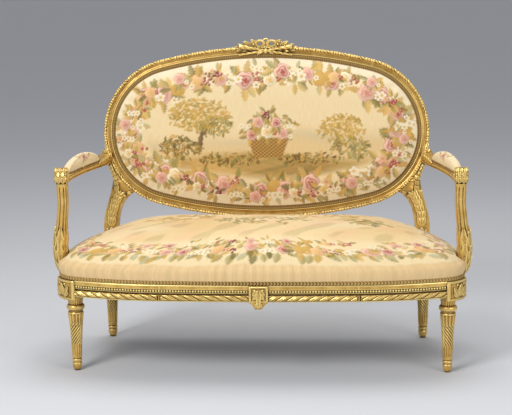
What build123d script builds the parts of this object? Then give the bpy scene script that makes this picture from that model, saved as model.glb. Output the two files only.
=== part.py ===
"""Oval-back giltwood settee with tapestry upholstery.

Millimetres, +Z up, +Y towards the back, +X to the right of someone facing the settee.
The origin is on the floor under the middle of the settee.
"""
import os
from math import acos, asin, atan2, cos, degrees, pi, radians, sin, sqrt

from build123d import *

os.makedirs("parts", exist_ok=True)

# Overall depth and lean of the back
overall_depth = 669.0
back_rake = 8.0
fit_clearance = 0.15
cloth_clearance = 0.3

# Seat frame seen from above, right half, from the middle of the front
front_flat_half = 320.0
front_flat_radius = 6000.0
front_turn_radius = 960.0
front_turn_angle = 17.5
corner_radius = 97.0
corner_angle = 60.0
side_overhang = 4.0

# Rail section, from the bottom up
rail_bottom = 262.0
rail_thickness = 42.0
rail_lip = 20.0
rabbet_height = 8.0
lower_fillet = 4.0
ribbon_height = 18.0
ribbon_bulge = 2.0
cove_height = 6.0
cove_depth = 7.0
bead_height = 12.0
bead_setback = 3.0
top_band_height = 14.0
top_band_setback = 1.5
rail_top = rail_bottom + lower_fillet + ribbon_height + cove_height + bead_height + top_band_height

# Middle boss of the front rail
boss_width = 62.0
boss_proud = 5.0
boss_let_in = 8.0
boss_drop = 21.0
boss_tip_width = 22.0

# Turned legs
foot_radius = 10.0
bulb_radius = 16.3
bulb_z = 24.0
ring_radius = 16.8
ankle_radius = 16.4
foot_swell = 4.0
ring_gap = 5.0
ankle_z = 47.0
shaft_middle_radius = 19.3
shaft_top_radius = 26.3
shaft_top_z = 198.0
collar_radius = 30.0
collar_z = 217.0
collar_height = 17.0
neck_radius = 23.5
leg_head_radius = 27.0
block_bottom = 250.0
leg_inset = 44.0
block_depth = 58.0
block_proud = 3.0

# Back posts
post_x = 557.0
post_setback = 10.0
post_width = 50.0
post_depth = 46.0
post_block_top = 345.0
stile_width = 52.0
stile_shift = 8.0
stile_depth = 34.0
stile_straight = 100.0
stile_waist = 30.0
stile_waist_v = 222.0
stile_lean = 0.5
stile_merge = 3.0
stile_top_turn = 19.0
stile_foot_turn = 54.0

# Oval back frame, measured in its own leaning plane from the seat line
seat_line_z = 330.0
oval_half_width = 575.0
oval_half_height = 302.0
oval_flat_rise = 40.0
oval_centre_v = 408.0
frame_width = 41.0
frame_front = 17.0
frame_back = 17.0
gimp_width = 13.0
back_rabbet_w = 3.0
rear_rabbet_w = -11.0
wall_w = 9.0
frame_fillet = 4.0
frame_torus = 12.0
frame_torus_rise = 5.0
frame_cove_depth = 3.5
frame_chamfer = 4.0

# Joints
tenon_thickness = 12.0
tenon_height = 32.0
tenon_length = 28.0
tenon_inset = 24.0
rear_tenon_length = 20.0
peg_radius = 3.0
dowel_radius = 4.0
dowel_half_length = 22.0
dowel_post_bite = 13.0
frame_dowel_places = (12.0, 23.0)
frame_dowel_w = -4.0
post_dowel_turns = (36.0, 47.0)

# Inner seat frame
cross_rail_x = 150.0
cross_rail_width = 30.0
cross_rail_height = 28.0
stub_length = 10.0
corner_block_thickness = 34.0
corner_block_height = 36.0
screw_radius = 2.5
screw_head_radius = 5.0
screw_head_height = 3.0
screw_wood = 18.0
screw_bite = 15.0
screw_height = 9.0
screw_from_post = 25.0

# Seat upholstery
web_width = 50.0
web_thickness = 2.0
spring_radius = 38.0
spring_waist = 25.0
spring_wire = 1.9
spring_turns = 5
spring_column_gap = 150.0
spring_row_gap = 140.0
spring_columns = 6
spring_rows = 3
spring_top = 387.0
cord_radius = 1.5
hessian_thickness = 1.5
hessian_seat = 30.0
hessian_top_share = 0.88
seat_gimp_height = 14.0
seat_gimp_thickness = 3.0
cover_thickness = 2.0
seat_crown_z = 477.0
seat_bulge = 0.012
seat_bulge_reach = 0.36
seat_top_share = 0.985
seat_steps = 12
dust_thickness = 1.5

# Arms
arm_underside = 622.0
arm_height = 24.0
arm_width = 45.0
arm_let_in = 12.0
arm_root_start = -0.05
arm_hand_share = 0.93
arm_flare_share = 0.19
arm_flare_height = 40.0
arm_steps = 10
arm_edge_radius = 8.0
arm_front_x = 652.0
hand_setback = 133.0
hand_length = 64.0
hand_height = 54.0
hand_width = 43.0
hand_round = 28.0
hand_step = 2.0
pad_height = 44.0
pad_width = 38.0
pad_shoulder = 0.7
pad_shoulder_height = 0.82
pad_bulge = 0.09
pad_bulge_height = 0.4
pad_start = 0.175
pad_hand_gap = 9.55
pad_gimp_height = 5.0
pad_gimp_thickness = 3.3
support_setback = 215.0
support_foot_shift = 8.0
support_foot_width = 38.0
support_foot_depth = 40.0
support_swell_shift = 18.0
support_swell_width = 48.0
support_swell_depth = 50.0
support_neck_width = 38.0
support_neck_depth = 38.0
support_head_depth = 42.0
support_edge_radius = 12.0
support_room_share = 0.3
room_width = 170.0
support_tenon_radius = 8.0
support_tenon_length = 22.0

# Crest
crest_lift = 8.0
crest_w = 8.0
crest_fall = 6.0
crest_half_width = 106.0
crest_rose_gap = 42.0
crest_rose_radius = 18.0
crest_side_radius = 15.0
crest_leaf_depth = 10.0
crest_leaf_width = 26.0
crest_leaf_fall = 6.0
rose_petals = 5
rose_petal_radius = 8.0
torch_length = 120.0
torch_radius = 5.0
torch_lean = 0.16
torch_drop = 16.0
torch_w = 16.0

# Back upholstery
back_crown = 35.0
back_crown_reach = 190.0
back_crown_power = 1.5
back_steps = 9
back_web_gap = 130.0
back_web_count = 7
back_web_rows = 3
back_cover_thickness = 2.5
back_gimp_thickness = 3.0
rear_gimp_thickness = 2.0


def turn_left(point, heading, radius, angle):
    """Give the centre, end and end heading of an arc that bends to the left."""
    start = radians(heading)
    stop = radians(heading + angle)
    centre = (point[0] - radius * sin(start), point[1] + radius * cos(start))
    end = (centre[0] + radius * sin(stop), centre[1] - radius * cos(stop))
    return centre, end, heading + angle


def polar(centre, radius, angle):
    """Give the point at an angle and a distance from a centre."""
    return (centre[0] + radius * cos(radians(angle)), centre[1] + radius * sin(radians(angle)))


def upright_plane(point, direction, z):
    """Give the upright plane at a point that faces a level direction."""
    hx, hy = direction
    return Plane(origin=(point[0], point[1], z), x_dir=(-hy, hx, 0), z_dir=(hx, hy, 0))


# Back plane: its x runs to the right, its y up the slope and its z out of the front
rake_sin = sin(radians(back_rake))
rake_cos = cos(radians(back_rake))
oval_top_v = oval_centre_v + oval_half_height
pivot_y = overall_depth / 2 - (oval_top_v - frame_chamfer) * rake_sin - frame_back * rake_cos
back_plane = Plane(origin=(0, pivot_y, seat_line_z), x_dir=(1, 0, 0), z_dir=(0, -rake_cos, rake_sin))


def on_back(u, v, w=0.0):
    """Give the point of the room at a place on the back plane."""
    return back_plane.from_local_coords(Vector(u, v, w))


post_y = pivot_y + post_setback
post_front_y = post_y - post_depth / 2

# Arcs of the seat outline, each with its centre, radius, start heading and angle
front_middle = (0.0, boss_proud - overall_depth / 2)
flat_angle = degrees(asin(front_flat_half / front_flat_radius))
flat_centre, flat_end, flat_heading = turn_left(front_middle, 0, front_flat_radius, flat_angle)
turn_centre, turn_end, turn_heading = turn_left(
    flat_end, flat_heading, front_turn_radius, front_turn_angle
)
corner_centre, corner_end, corner_heading = turn_left(
    turn_end, turn_heading, corner_radius, corner_angle
)
side_end = (post_x + post_width / 2 + side_overhang, post_front_y)
side_normal = (-sin(radians(corner_heading)), cos(radians(corner_heading)))
side_run = (side_end[0] - corner_end[0], side_end[1] - corner_end[1])
side_radius = (side_run[0] ** 2 + side_run[1] ** 2) / (
    2 * (side_run[0] * side_normal[0] + side_run[1] * side_normal[1])
)
side_centre = (
    corner_end[0] + side_radius * side_normal[0],
    corner_end[1] + side_radius * side_normal[1],
)
side_heading = degrees(atan2(side_end[0] - side_centre[0], side_centre[1] - side_end[1]))
side_angle = side_heading - corner_heading
side_run_on = 12.0
back_rail_front = post_y - rail_thickness / 2
seat_back_edge = post_y + rail_thickness / 2
seat_middle_y = (front_middle[1] + seat_back_edge) / 2


def seat_face(z, inset, share=1.0):
    """Draw the seat outline, set in from the rails' face and shrunk about the middle of the seat."""

    def placed(centre):
        return (centre[0] * share, seat_middle_y + (centre[1] - seat_middle_y) * share)

    back_cosine = (side_centre[1] - seat_back_edge + inset) / (side_radius - inset)
    right_arcs = [
        (turn_centre, front_turn_radius, flat_heading, front_turn_angle),
        (corner_centre, corner_radius, turn_heading, corner_angle),
        (side_centre, side_radius, corner_heading, degrees(acos(back_cosine)) - corner_heading),
    ]
    with BuildSketch(Plane.XY.offset(z)) as sketch:
        with BuildLine():
            flat = (front_flat_radius - inset) * share
            CenterArc(placed(flat_centre), flat, -90 - flat_angle, 2 * flat_angle)
            ends = []
            for side in (1, -1):
                for centre, radius, heading, angle in right_arcs:
                    bent = (radius - inset) * share
                    middle = placed((side * centre[0], centre[1]))
                    first = heading - 90 if side > 0 else 270 - heading - angle
                    CenterArc(middle, bent, first, angle)
                ends.append(polar(middle, bent, first + angle if side > 0 else first))
            Line(ends[0], ends[1])
        make_face()
    return sketch.sketch


def seat_sheet(z, height, inset, mode=Mode.ADD):
    """Extrude the seat outline, set in from the rails' face."""
    extrude(seat_face(z, inset), amount=height, mode=mode)


def block_face(z, growth=0.0):
    """Draw the plan of the right front leg block, grown all round."""
    first = turn_heading - 90
    with BuildSketch(Plane.XY.offset(z)) as sketch:
        with BuildLine():
            outer = CenterArc(corner_centre, corner_radius + block_proud, first, corner_angle)
            inner = CenterArc(corner_centre, corner_radius - block_depth, first, corner_angle)
            Line(outer @ 0, inner @ 0)
            Line(outer @ 1, inner @ 1)
        make_face()
        if growth > 0:
            offset(amount=growth, kind=Kind.INTERSECTION)
    return sketch.sketch


def post_face(z, growth=0.0):
    """Draw the plan of the right back post block, grown all round."""
    with BuildSketch(Plane.XY.offset(z)) as sketch:
        with Locations((post_x, post_y)):
            Rectangle(post_width + 2 * growth, post_depth + 2 * growth)
    return sketch.sketch


def cut_blocks(z, height, growth):
    """Cut the room of the four corner posts out of a piece."""
    for face in (block_face(z, growth), post_face(z, growth)):
        extrude(face, amount=height, mode=Mode.SUBTRACT)
        extrude(face.mirror(Plane.YZ), amount=height, mode=Mode.SUBTRACT)


def rail_section(plane):
    """Draw the moulded section of a rail: x is the distance in from its face, y the height."""
    ribbon_low = rail_bottom + lower_fillet
    ribbon_high = ribbon_low + ribbon_height
    bead_low = ribbon_high + cove_height
    bead_high = bead_low + bead_height
    with BuildSketch(plane) as sketch:
        with BuildLine():
            Polyline((rail_lip, rail_bottom), (bead_setback, rail_bottom), (ribbon_bulge, ribbon_low))
            ThreePointArc(
                (ribbon_bulge, ribbon_low),
                (0, (ribbon_low + ribbon_high) / 2),
                (ribbon_bulge, ribbon_high),
            )
            Polyline(
                (ribbon_bulge, ribbon_high),
                (cove_depth, ribbon_high),
                (cove_depth, bead_low),
                (bead_setback, bead_low),
                (bead_setback, bead_high),
                (top_band_setback, bead_high),
                (top_band_setback, rail_top),
                (rail_thickness, rail_top),
                (rail_thickness, rail_bottom + rabbet_height),
                (rail_lip, rail_bottom + rabbet_height),
                (rail_lip, rail_bottom),
            )
        make_face()
    return sketch.sketch


def stick(plane, radius, length, mode=Mode.ADD):
    """Make a round stick that starts on a plane."""
    with BuildSketch(plane) as sketch:
        Circle(radius)
    extrude(sketch.sketch, amount=length, mode=mode)


def slab(plane, width, height, length, mode=Mode.ADD):
    """Make a square-edged stick that starts on a plane."""
    with BuildSketch(plane) as sketch:
        Rectangle(width, height)
    extrude(sketch.sketch, amount=length, mode=mode)


def mortise(plane, length):
    """Cut the mortise of a rail's tenon, with a little room all round."""
    slab(
        plane,
        tenon_thickness + 2 * fit_clearance,
        tenon_height + 2 * fit_clearance,
        length + fit_clearance,
        Mode.SUBTRACT,
    )


def heading_vector(heading):
    """Give the level unit vector of a heading."""
    return (cos(radians(heading)), sin(radians(heading)))


def mirrored(point, side):
    """Give a point or direction on the right or the left half."""
    return (side * point[0], point[1])


# Joint places on the right half, each a point, a direction and a height
tenon_z = (rail_bottom + rabbet_height + rail_top) / 2
turn_out = heading_vector(turn_heading)
front_tenon_at = polar(turn_end, tenon_inset, turn_heading + 90)
side_back = heading_vector(corner_heading)
side_forward = heading_vector(corner_heading + 180)
side_tenon_at = polar(corner_end, tenon_inset, corner_heading + 90)
rear_tenon_at = (side_end[0] - tenon_inset - side_overhang, post_front_y)
back_tenon_y = post_y + tenon_thickness
tenon_mid_radius = corner_radius - tenon_inset
peg_turn = degrees(tenon_length / 2 / tenon_mid_radius)
peg_base = corner_radius - block_depth
peg_length = block_depth - tenon_inset + tenon_thickness
leg_middle = turn_heading + corner_angle / 2 - 90
leg_at = polar(corner_centre, corner_radius - leg_inset, leg_middle)


def pegs(side, mode):
    """Make the pegs that lock the four tenons of one side, or cut their holes."""
    centre = mirrored(corner_centre, side)
    for angle in (turn_heading - 90 + peg_turn, corner_heading - 90 - peg_turn):
        outward = mirrored(polar((0, 0), 1, angle), side)
        foot = (centre[0] + peg_base * outward[0], centre[1] + peg_base * outward[1])
        stick(upright_plane(foot, outward, tenon_z), peg_radius, peg_length, mode)
    inner_face = (side * (post_x - post_width / 2), post_front_y + rear_tenon_length / 2)
    stick(upright_plane(inner_face, (side, 0), tenon_z), peg_radius, post_width - tenon_inset / 2, mode)
    rear_face = (side * (post_x - post_width / 2 + rear_tenon_length / 2), post_y + post_depth / 2)
    stick(upright_plane(rear_face, (0, -1), tenon_z), peg_radius, post_depth / 2, mode)


def leg_turning(x, y):
    """Draw half of a turned leg that stands at a place on the floor."""
    waist_radius = foot_radius + foot_swell
    ring_low = bulb_z + ring_gap
    ring_high = ankle_z - ring_gap
    collar_low = collar_z - collar_height / 2
    collar_high = collar_z + collar_height / 2
    with BuildSketch(Plane(origin=(x, y, 0), x_dir=(1, 0, 0), z_dir=(0, -1, 0))) as sketch:
        with BuildLine():
            Polyline((0, block_bottom), (0, 0), (foot_radius, 0))
            RadiusArc((foot_radius, 0), (bulb_radius, bulb_z), 2 * bulb_z)
            Line((bulb_radius, bulb_z), (waist_radius, ring_low))
            ThreePointArc(
                (waist_radius, ring_low),
                (ring_radius, (ring_low + ring_high) / 2),
                (waist_radius, ring_high),
            )
            Line((waist_radius, ring_high), (ankle_radius, ankle_z))
            ThreePointArc(
                (ankle_radius, ankle_z),
                (shaft_middle_radius, (ankle_z + shaft_top_z) / 2),
                (shaft_top_radius, shaft_top_z),
            )
            Polyline(
                (shaft_top_radius, shaft_top_z),
                (neck_radius, shaft_top_z + ring_gap),
                (neck_radius, collar_low),
            )
            ThreePointArc(
                (neck_radius, collar_low),
                (collar_radius, collar_z),
                (neck_radius, collar_high),
            )
            Polyline((neck_radius, collar_high), (leg_head_radius, block_bottom), (0, block_bottom))
        make_face()
    return sketch.sketch


def turned_leg(x, y):
    """Make a turned leg that stands at a place on the floor."""
    revolve(leg_turning(x, y), axis=Axis((x, y, 0), (0, 0, 1)))


# Corner blocks of the right half, each a start and a direction
cross_rail_z = rail_bottom + rabbet_height
post_inner_x = post_x - post_width / 2
front_block_at = polar(corner_centre, peg_base - corner_block_thickness, leg_middle)
rear_block_at = polar((post_inner_x, post_front_y), -corner_block_thickness, 45)
front_screw_at = polar(corner_centre, peg_base - screw_wood, leg_middle)
rear_screw_at = (post_inner_x - screw_from_post, back_rail_front - screw_wood)
screw_z = cross_rail_z + screw_height


def corner_screw(start, angle, side, mode):
    """Make the shank of one corner block's screw, or cut its hole."""
    direction = mirrored(heading_vector(angle), side)
    screw_plane = upright_plane(mirrored(start, side), direction, screw_z)
    stick(screw_plane, screw_radius, screw_wood + screw_bite, mode)


def screw_head(start, angle, side, radius, length, mode):
    """Make the head of one corner block's screw, or cut the pocket that it sits in."""
    backward = mirrored(heading_vector(angle + 180), side)
    stick(upright_plane(mirrored(start, side), backward, screw_z), radius, length, mode)


# Front legs, each with its carved corner block and the mortises of two rails
with BuildPart() as front_leg_right:
    turned_leg(*leg_at)
    extrude(block_face(block_bottom), amount=rail_top - block_bottom)
    mortise(upright_plane(front_tenon_at, turn_out, tenon_z), tenon_length)
    mortise(upright_plane(side_tenon_at, side_forward, tenon_z), tenon_length)
    pegs(1, Mode.SUBTRACT)
    corner_screw(front_screw_at, leg_middle, 1, Mode.SUBTRACT)
front_leg_right.part.label = "front_leg_right"
export_step(front_leg_right.part, "parts/front_leg_right.step")

with BuildPart() as front_leg_left:
    mirror(front_leg_right.part, about=Plane.YZ)
front_leg_left.part.label = "front_leg_left"
export_step(front_leg_left.part, "parts/front_leg_left.step")

# Carved boss let into the middle of the front rail, with a drop below it
boss_back_y = front_middle[1] + boss_let_in
with BuildPart() as front_rail_boss:
    with BuildSketch(Plane(origin=(0, boss_back_y, 0), x_dir=(1, 0, 0), z_dir=(0, -1, 0))):
        with BuildLine():
            half = boss_width / 2
            tip = boss_tip_width / 2
            drop_z = rail_bottom - boss_drop
            Polyline((-half, rail_bottom), (-half, rail_top), (half, rail_top), (half, rail_bottom))
            RadiusArc((half, rail_bottom), (tip, drop_z), -boss_width)
            Line((tip, drop_z), (-tip, drop_z))
            RadiusArc((-tip, drop_z), (-half, rail_bottom), -boss_width)
        make_face()
    extrude(amount=boss_let_in + boss_proud)
front_rail_boss.part.label = "front_rail_boss"
export_step(front_rail_boss.part, "parts/front_rail_boss.step")

# Front rail, swept along its bowed plan, with a tenon at each end
stub_z = cross_rail_z + cross_rail_height / 2
stub_width = cross_rail_width / 2
stub_height = cross_rail_height / 2
with BuildPart() as front_rail:
    with BuildLine() as front_path:
        CenterArc(mirrored(turn_centre, -1), front_turn_radius, -90 - turn_heading, front_turn_angle)
        CenterArc(flat_centre, front_flat_radius, -90 - flat_angle, 2 * flat_angle)
        CenterArc(turn_centre, front_turn_radius, flat_heading - 90, front_turn_angle)
    section_plane = upright_plane(mirrored(turn_end, -1), (turn_out[0], -turn_out[1]), 0)
    sweep(rail_section(section_plane), path=front_path.line)
    for side in (1, -1):
        end_plane = upright_plane(mirrored(front_tenon_at, side), mirrored(turn_out, side), tenon_z)
        slab(end_plane, tenon_thickness, tenon_height, tenon_length)
        pegs(side, Mode.SUBTRACT)
        slab(
            upright_plane((side * cross_rail_x, back_rail_front), (0, -1), stub_z),
            stub_width + 2 * fit_clearance,
            stub_height + 2 * fit_clearance,
            back_rail_front - front_middle[1] - rail_thickness + stub_length + fit_clearance,
            Mode.SUBTRACT,
        )
    with Locations((0, boss_back_y, rail_bottom)):
        Box(
            boss_width,
            2 * boss_let_in,
            4 * (rail_top - rail_bottom),
            align=(Align.CENTER, Align.MAX, Align.CENTER),
            mode=Mode.SUBTRACT,
        )
front_rail.part.label = "front_rail"
export_step(front_rail.part, "parts/front_rail.step")

# Side rails, bowed, from the front legs to the back posts
support_at = (arm_front_x + support_foot_shift, front_middle[1] + support_setback)
with BuildPart() as side_rail_right:
    revolve(
        rail_section(upright_plane(corner_end, side_back, 0)),
        axis=Axis((side_centre[0], side_centre[1], 0), (0, 0, 1)),
        revolution_arc=side_angle + side_run_on,
    )
    split(bisect_by=Plane(origin=(0, post_front_y, 0), z_dir=(0, -1, 0)), keep=Keep.TOP)
    front_end = upright_plane(side_tenon_at, side_forward, tenon_z)
    slab(front_end, tenon_thickness, tenon_height, tenon_length)
    rear_end = upright_plane(rear_tenon_at, (0, 1), tenon_z)
    slab(rear_end, tenon_thickness, tenon_height, rear_tenon_length)
    pegs(1, Mode.SUBTRACT)
    stick(
        Plane(origin=(*support_at, rail_top), z_dir=(0, 0, -1)),
        support_tenon_radius + fit_clearance,
        support_tenon_length + fit_clearance,
        Mode.SUBTRACT,
    )
side_rail_right.part.label = "side_rail_right"
export_step(side_rail_right.part, "parts/side_rail_right.step")

with BuildPart() as side_rail_left:
    mirror(side_rail_right.part, about=Plane.YZ)
side_rail_left.part.label = "side_rail_left"
export_step(side_rail_left.part, "parts/side_rail_left.step")

# Back rail, straight, between the posts
with BuildPart() as back_rail:
    with BuildSketch(Plane(origin=(-post_inner_x, 0, 0), x_dir=(0, 1, 0), z_dir=(1, 0, 0))):
        with BuildLine():
            rear = post_y + rail_thickness / 2
            Polyline(
                (back_rail_front, rail_bottom + rabbet_height),
                (back_rail_front, rail_top),
                (rear, rail_top),
                (rear, rail_bottom),
                (rear - rail_lip, rail_bottom),
                (rear - rail_lip, rail_bottom + rabbet_height),
                close=True,
            )
        make_face()
    extrude(amount=2 * post_inner_x)
    for side in (1, -1):
        end_plane = upright_plane((side * post_inner_x, back_tenon_y), (side, 0), tenon_z)
        slab(end_plane, tenon_thickness, tenon_height, rear_tenon_length)
        pegs(side, Mode.SUBTRACT)
        slab(
            upright_plane((side * cross_rail_x, back_rail_front), (0, 1), stub_z),
            stub_width + 2 * fit_clearance,
            stub_height + 2 * fit_clearance,
            stub_length + fit_clearance,
            Mode.SUBTRACT,
        )
        corner_screw(rear_screw_at, 90, side, Mode.SUBTRACT)
back_rail.part.label = "back_rail"
export_step(back_rail.part, "parts/back_rail.step")

# Cross rails that brace the seat frame from front to back
front_inner_y = front_middle[1] + rail_thickness
for name, side in (("cross_rail_left", -1), ("cross_rail_right", 1)):
    with BuildPart() as cross_rail:
        slab(
            upright_plane((side * cross_rail_x, back_rail_front), (0, -1), stub_z),
            cross_rail_width,
            cross_rail_height,
            back_rail_front - front_inner_y + rail_thickness,
        )
        seat_sheet(cross_rail_z, cross_rail_height, rail_thickness, Mode.INTERSECT)
        slab(
            upright_plane((side * cross_rail_x, back_rail_front + stub_length), (0, -1), stub_z),
            stub_width,
            stub_height,
            back_rail_front - front_inner_y + 2 * stub_length,
        )
    cross_rail.part.label = name
    export_step(cross_rail.part, f"parts/{name}.step")

# Glued and screwed corner blocks inside the seat frame
front_corner = ("front", front_block_at, front_screw_at, leg_middle, leg_middle)
rear_corner = ("back", rear_block_at, rear_screw_at, 45, 90)
for name, start, screw_at, angle, screw_angle in (front_corner, rear_corner):
    with BuildPart() as corner_block:
        with BuildSketch(Plane.XY.offset(cross_rail_z)):
            with Locations(Location((start[0], start[1], 0), (0, 0, angle))):
                Rectangle(post_x, 2 * post_x, align=(Align.MIN, Align.CENTER))
        extrude(amount=corner_block_height)
        seat_sheet(cross_rail_z, corner_block_height, rail_thickness, Mode.INTERSECT)
        cut_blocks(cross_rail_z, corner_block_height, 0)
        corner_screw(screw_at, screw_angle, 1, Mode.SUBTRACT)
        pocket_radius = screw_head_radius + fit_clearance
        screw_head(screw_at, screw_angle, 1, pocket_radius, post_width, Mode.SUBTRACT)
    corner_block.part.label = f"corner_block_{name}_right"
    export_step(corner_block.part, f"parts/corner_block_{name}_right.step")

    with BuildPart() as corner_block_left:
        mirror(corner_block.part, about=Plane.YZ)
    corner_block_left.part.label = f"corner_block_{name}_left"
    export_step(corner_block_left.part, f"parts/corner_block_{name}_left.step")

with BuildPart() as corner_block_screws:
    for side in (1, -1):
        for place, angle in ((front_screw_at, leg_middle), (rear_screw_at, 90)):
            corner_screw(place, angle, side, Mode.ADD)
            screw_head(place, angle, side, screw_head_radius, screw_head_height, Mode.ADD)
corner_block_screws.part.label = "corner_block_screws"
export_step(corner_block_screws.part, "parts/corner_block_screws.step")

with BuildPart() as tenon_pegs:
    pegs(1, Mode.ADD)
    pegs(-1, Mode.ADD)
tenon_pegs.part.label = "tenon_pegs"
export_step(tenon_pegs.part, "parts/tenon_pegs.step")


# Oval of the back: two end arcs and two flatter arcs that meet them without a corner
oval_end_radius = oval_half_height - oval_flat_rise
oval_end_u = oval_half_width - oval_end_radius
oval_flat_radius = (oval_end_u**2 + oval_half_height**2 - oval_end_radius**2) / (2 * oval_flat_rise)
oval_flat_drop = oval_flat_radius - oval_half_height
oval_flat_turn = degrees(atan2(oval_end_u, oval_flat_drop))
oval_end_turn = 90 - oval_flat_turn
back_normal = Vector(0, -rake_cos, rake_sin)
back_up = Vector(0, rake_sin, rake_cos)


def oval_face(inset, w):
    """Draw the oval of the back, set in from its outer edge, at a height above the back plane."""
    end = oval_end_radius - inset
    flat = oval_flat_radius - inset
    with BuildSketch(back_plane.offset(w)) as sketch:
        with BuildLine():
            CenterArc((oval_end_u, oval_centre_v), end, -oval_end_turn, 2 * oval_end_turn)
            CenterArc((0, oval_centre_v - oval_flat_drop), flat, oval_end_turn, 2 * oval_flat_turn)
            CenterArc((-oval_end_u, oval_centre_v), end, 180 - oval_end_turn, 2 * oval_end_turn)
            CenterArc((0, oval_centre_v + oval_flat_drop), flat, 180 + oval_end_turn, 2 * oval_flat_turn)
        make_face()
    return sketch.sketch


def oval_section(centre, outer_radius, angle):
    """Draw the frame's section: x is the distance from an arc's centre, y the height above the plane."""
    inner = outer_radius - frame_width
    wall = inner + gimp_width
    cove = wall + frame_fillet
    torus = outer_radius - frame_torus
    torus_foot = frame_front - frame_torus_rise
    radial = Vector(1, 0, 0) * cos(radians(angle)) + back_up * sin(radians(angle))
    section_plane = Plane(origin=on_back(*centre), x_dir=radial, z_dir=radial.cross(back_normal))
    with BuildSketch(section_plane) as sketch:
        with BuildLine():
            Polyline(
                (wall, -frame_back),
                (wall, rear_rabbet_w),
                (inner, rear_rabbet_w),
                (inner, back_rabbet_w),
                (wall, back_rabbet_w),
                (wall, wall_w),
                (cove, wall_w),
            )
            ThreePointArc(
                (cove, wall_w),
                ((cove + torus) / 2, wall_w - frame_cove_depth),
                (torus, wall_w),
            )
            Line((torus, wall_w), (torus, torus_foot))
            ThreePointArc(
                (torus, torus_foot),
                (torus + frame_torus / 2, frame_front),
                (outer_radius, torus_foot),
            )
            Polyline(
                (outer_radius, torus_foot),
                (outer_radius, frame_chamfer - frame_back),
                (outer_radius - frame_chamfer, -frame_back),
                (wall, -frame_back),
            )
        make_face()
    return sketch.sketch


def oval_segment(centre, outer_radius, start, turn):
    """Make one curved piece of the oval frame."""
    axis = Axis(on_back(*centre), back_normal)
    revolve(oval_section(centre, outer_radius, start), axis=axis, revolution_arc=turn)


def frame_dowels(mode):
    """Make the dowels across the four joints of the oval frame, or cut their holes."""
    for side_u in (1, -1):
        for side_v in (1, -1):
            angle = radians(oval_end_turn)
            out = Vector(side_u * cos(angle), 0, 0) + back_up * (side_v * sin(angle))
            along = Vector(-side_u * sin(angle), 0, 0) + back_up * (side_v * cos(angle))
            for place in frame_dowel_places:
                middle = (
                    on_back(side_u * oval_end_u, oval_centre_v, frame_dowel_w)
                    + out * (oval_end_radius - place)
                    - along * dowel_half_length
                )
                dowel_plane = Plane(origin=middle, x_dir=back_normal, z_dir=along)
                stick(dowel_plane, dowel_radius, 2 * dowel_half_length, mode)


def post_dowels(side, mode):
    """Make the dowels between one post and the oval frame, or cut their holes."""
    for turn in post_dowel_turns:
        angle = radians(-turn)
        out = Vector(side * cos(angle), 0, 0) + back_up * sin(angle)
        centre = on_back(side * oval_end_u, oval_centre_v, frame_dowel_w)
        foot = centre + out * (oval_end_radius - dowel_half_length)
        dowel_plane = Plane(origin=foot, x_dir=back_normal, z_dir=out)
        stick(dowel_plane, dowel_radius, dowel_half_length + dowel_post_bite, mode)


# Height on the slope, half width and depth of the place where an arm meets the oval
arm_base = arm_underside + hand_step
arm_middle_z = arm_base + arm_height / 2
arm_v = (arm_middle_z - seat_line_z) / rake_cos
arm_root_x = oval_end_u + sqrt(oval_end_radius**2 - (arm_v - oval_centre_v) ** 2)
arm_root_y = pivot_y + arm_v * rake_sin


def arm_dowel(side, mode):
    """Make the dowel between one arm and the oval frame, or cut its hole."""
    start = (side * (arm_root_x - dowel_half_length), arm_root_y)
    dowel_plane = upright_plane(start, (side, 0), arm_middle_z)
    stick(dowel_plane, dowel_radius, dowel_half_length + dowel_post_bite, mode)


flat_top = (0, oval_centre_v - oval_flat_drop)
flat_bottom = (0, oval_centre_v + oval_flat_drop)
with BuildPart() as back_top_rail:
    oval_segment(flat_top, oval_flat_radius, oval_end_turn, 2 * oval_flat_turn)
    frame_dowels(Mode.SUBTRACT)
back_top_rail.part.label = "back_top_rail"
export_step(back_top_rail.part, "parts/back_top_rail.step")

with BuildPart() as back_bottom_rail:
    oval_segment(flat_bottom, oval_flat_radius, 180 + oval_end_turn, 2 * oval_flat_turn)
    frame_dowels(Mode.SUBTRACT)
back_bottom_rail.part.label = "back_bottom_rail"
export_step(back_bottom_rail.part, "parts/back_bottom_rail.step")

with BuildPart() as back_end_right:
    oval_segment((oval_end_u, oval_centre_v), oval_end_radius, -oval_end_turn, 2 * oval_end_turn)
    frame_dowels(Mode.SUBTRACT)
    post_dowels(1, Mode.SUBTRACT)
    arm_dowel(1, Mode.SUBTRACT)
back_end_right.part.label = "back_end_right"
export_step(back_end_right.part, "parts/back_end_right.step")

with BuildPart() as back_end_left:
    mirror(back_end_right.part, about=Plane.YZ)
back_end_left.part.label = "back_end_left"
export_step(back_end_left.part, "parts/back_end_left.step")

with BuildPart() as back_frame_dowels:
    frame_dowels(Mode.ADD)
    for side in (1, -1):
        post_dowels(side, Mode.ADD)
        arm_dowel(side, Mode.ADD)
back_frame_dowels.part.label = "back_frame_dowels"
export_step(back_frame_dowels.part, "parts/back_frame_dowels.step")

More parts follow.
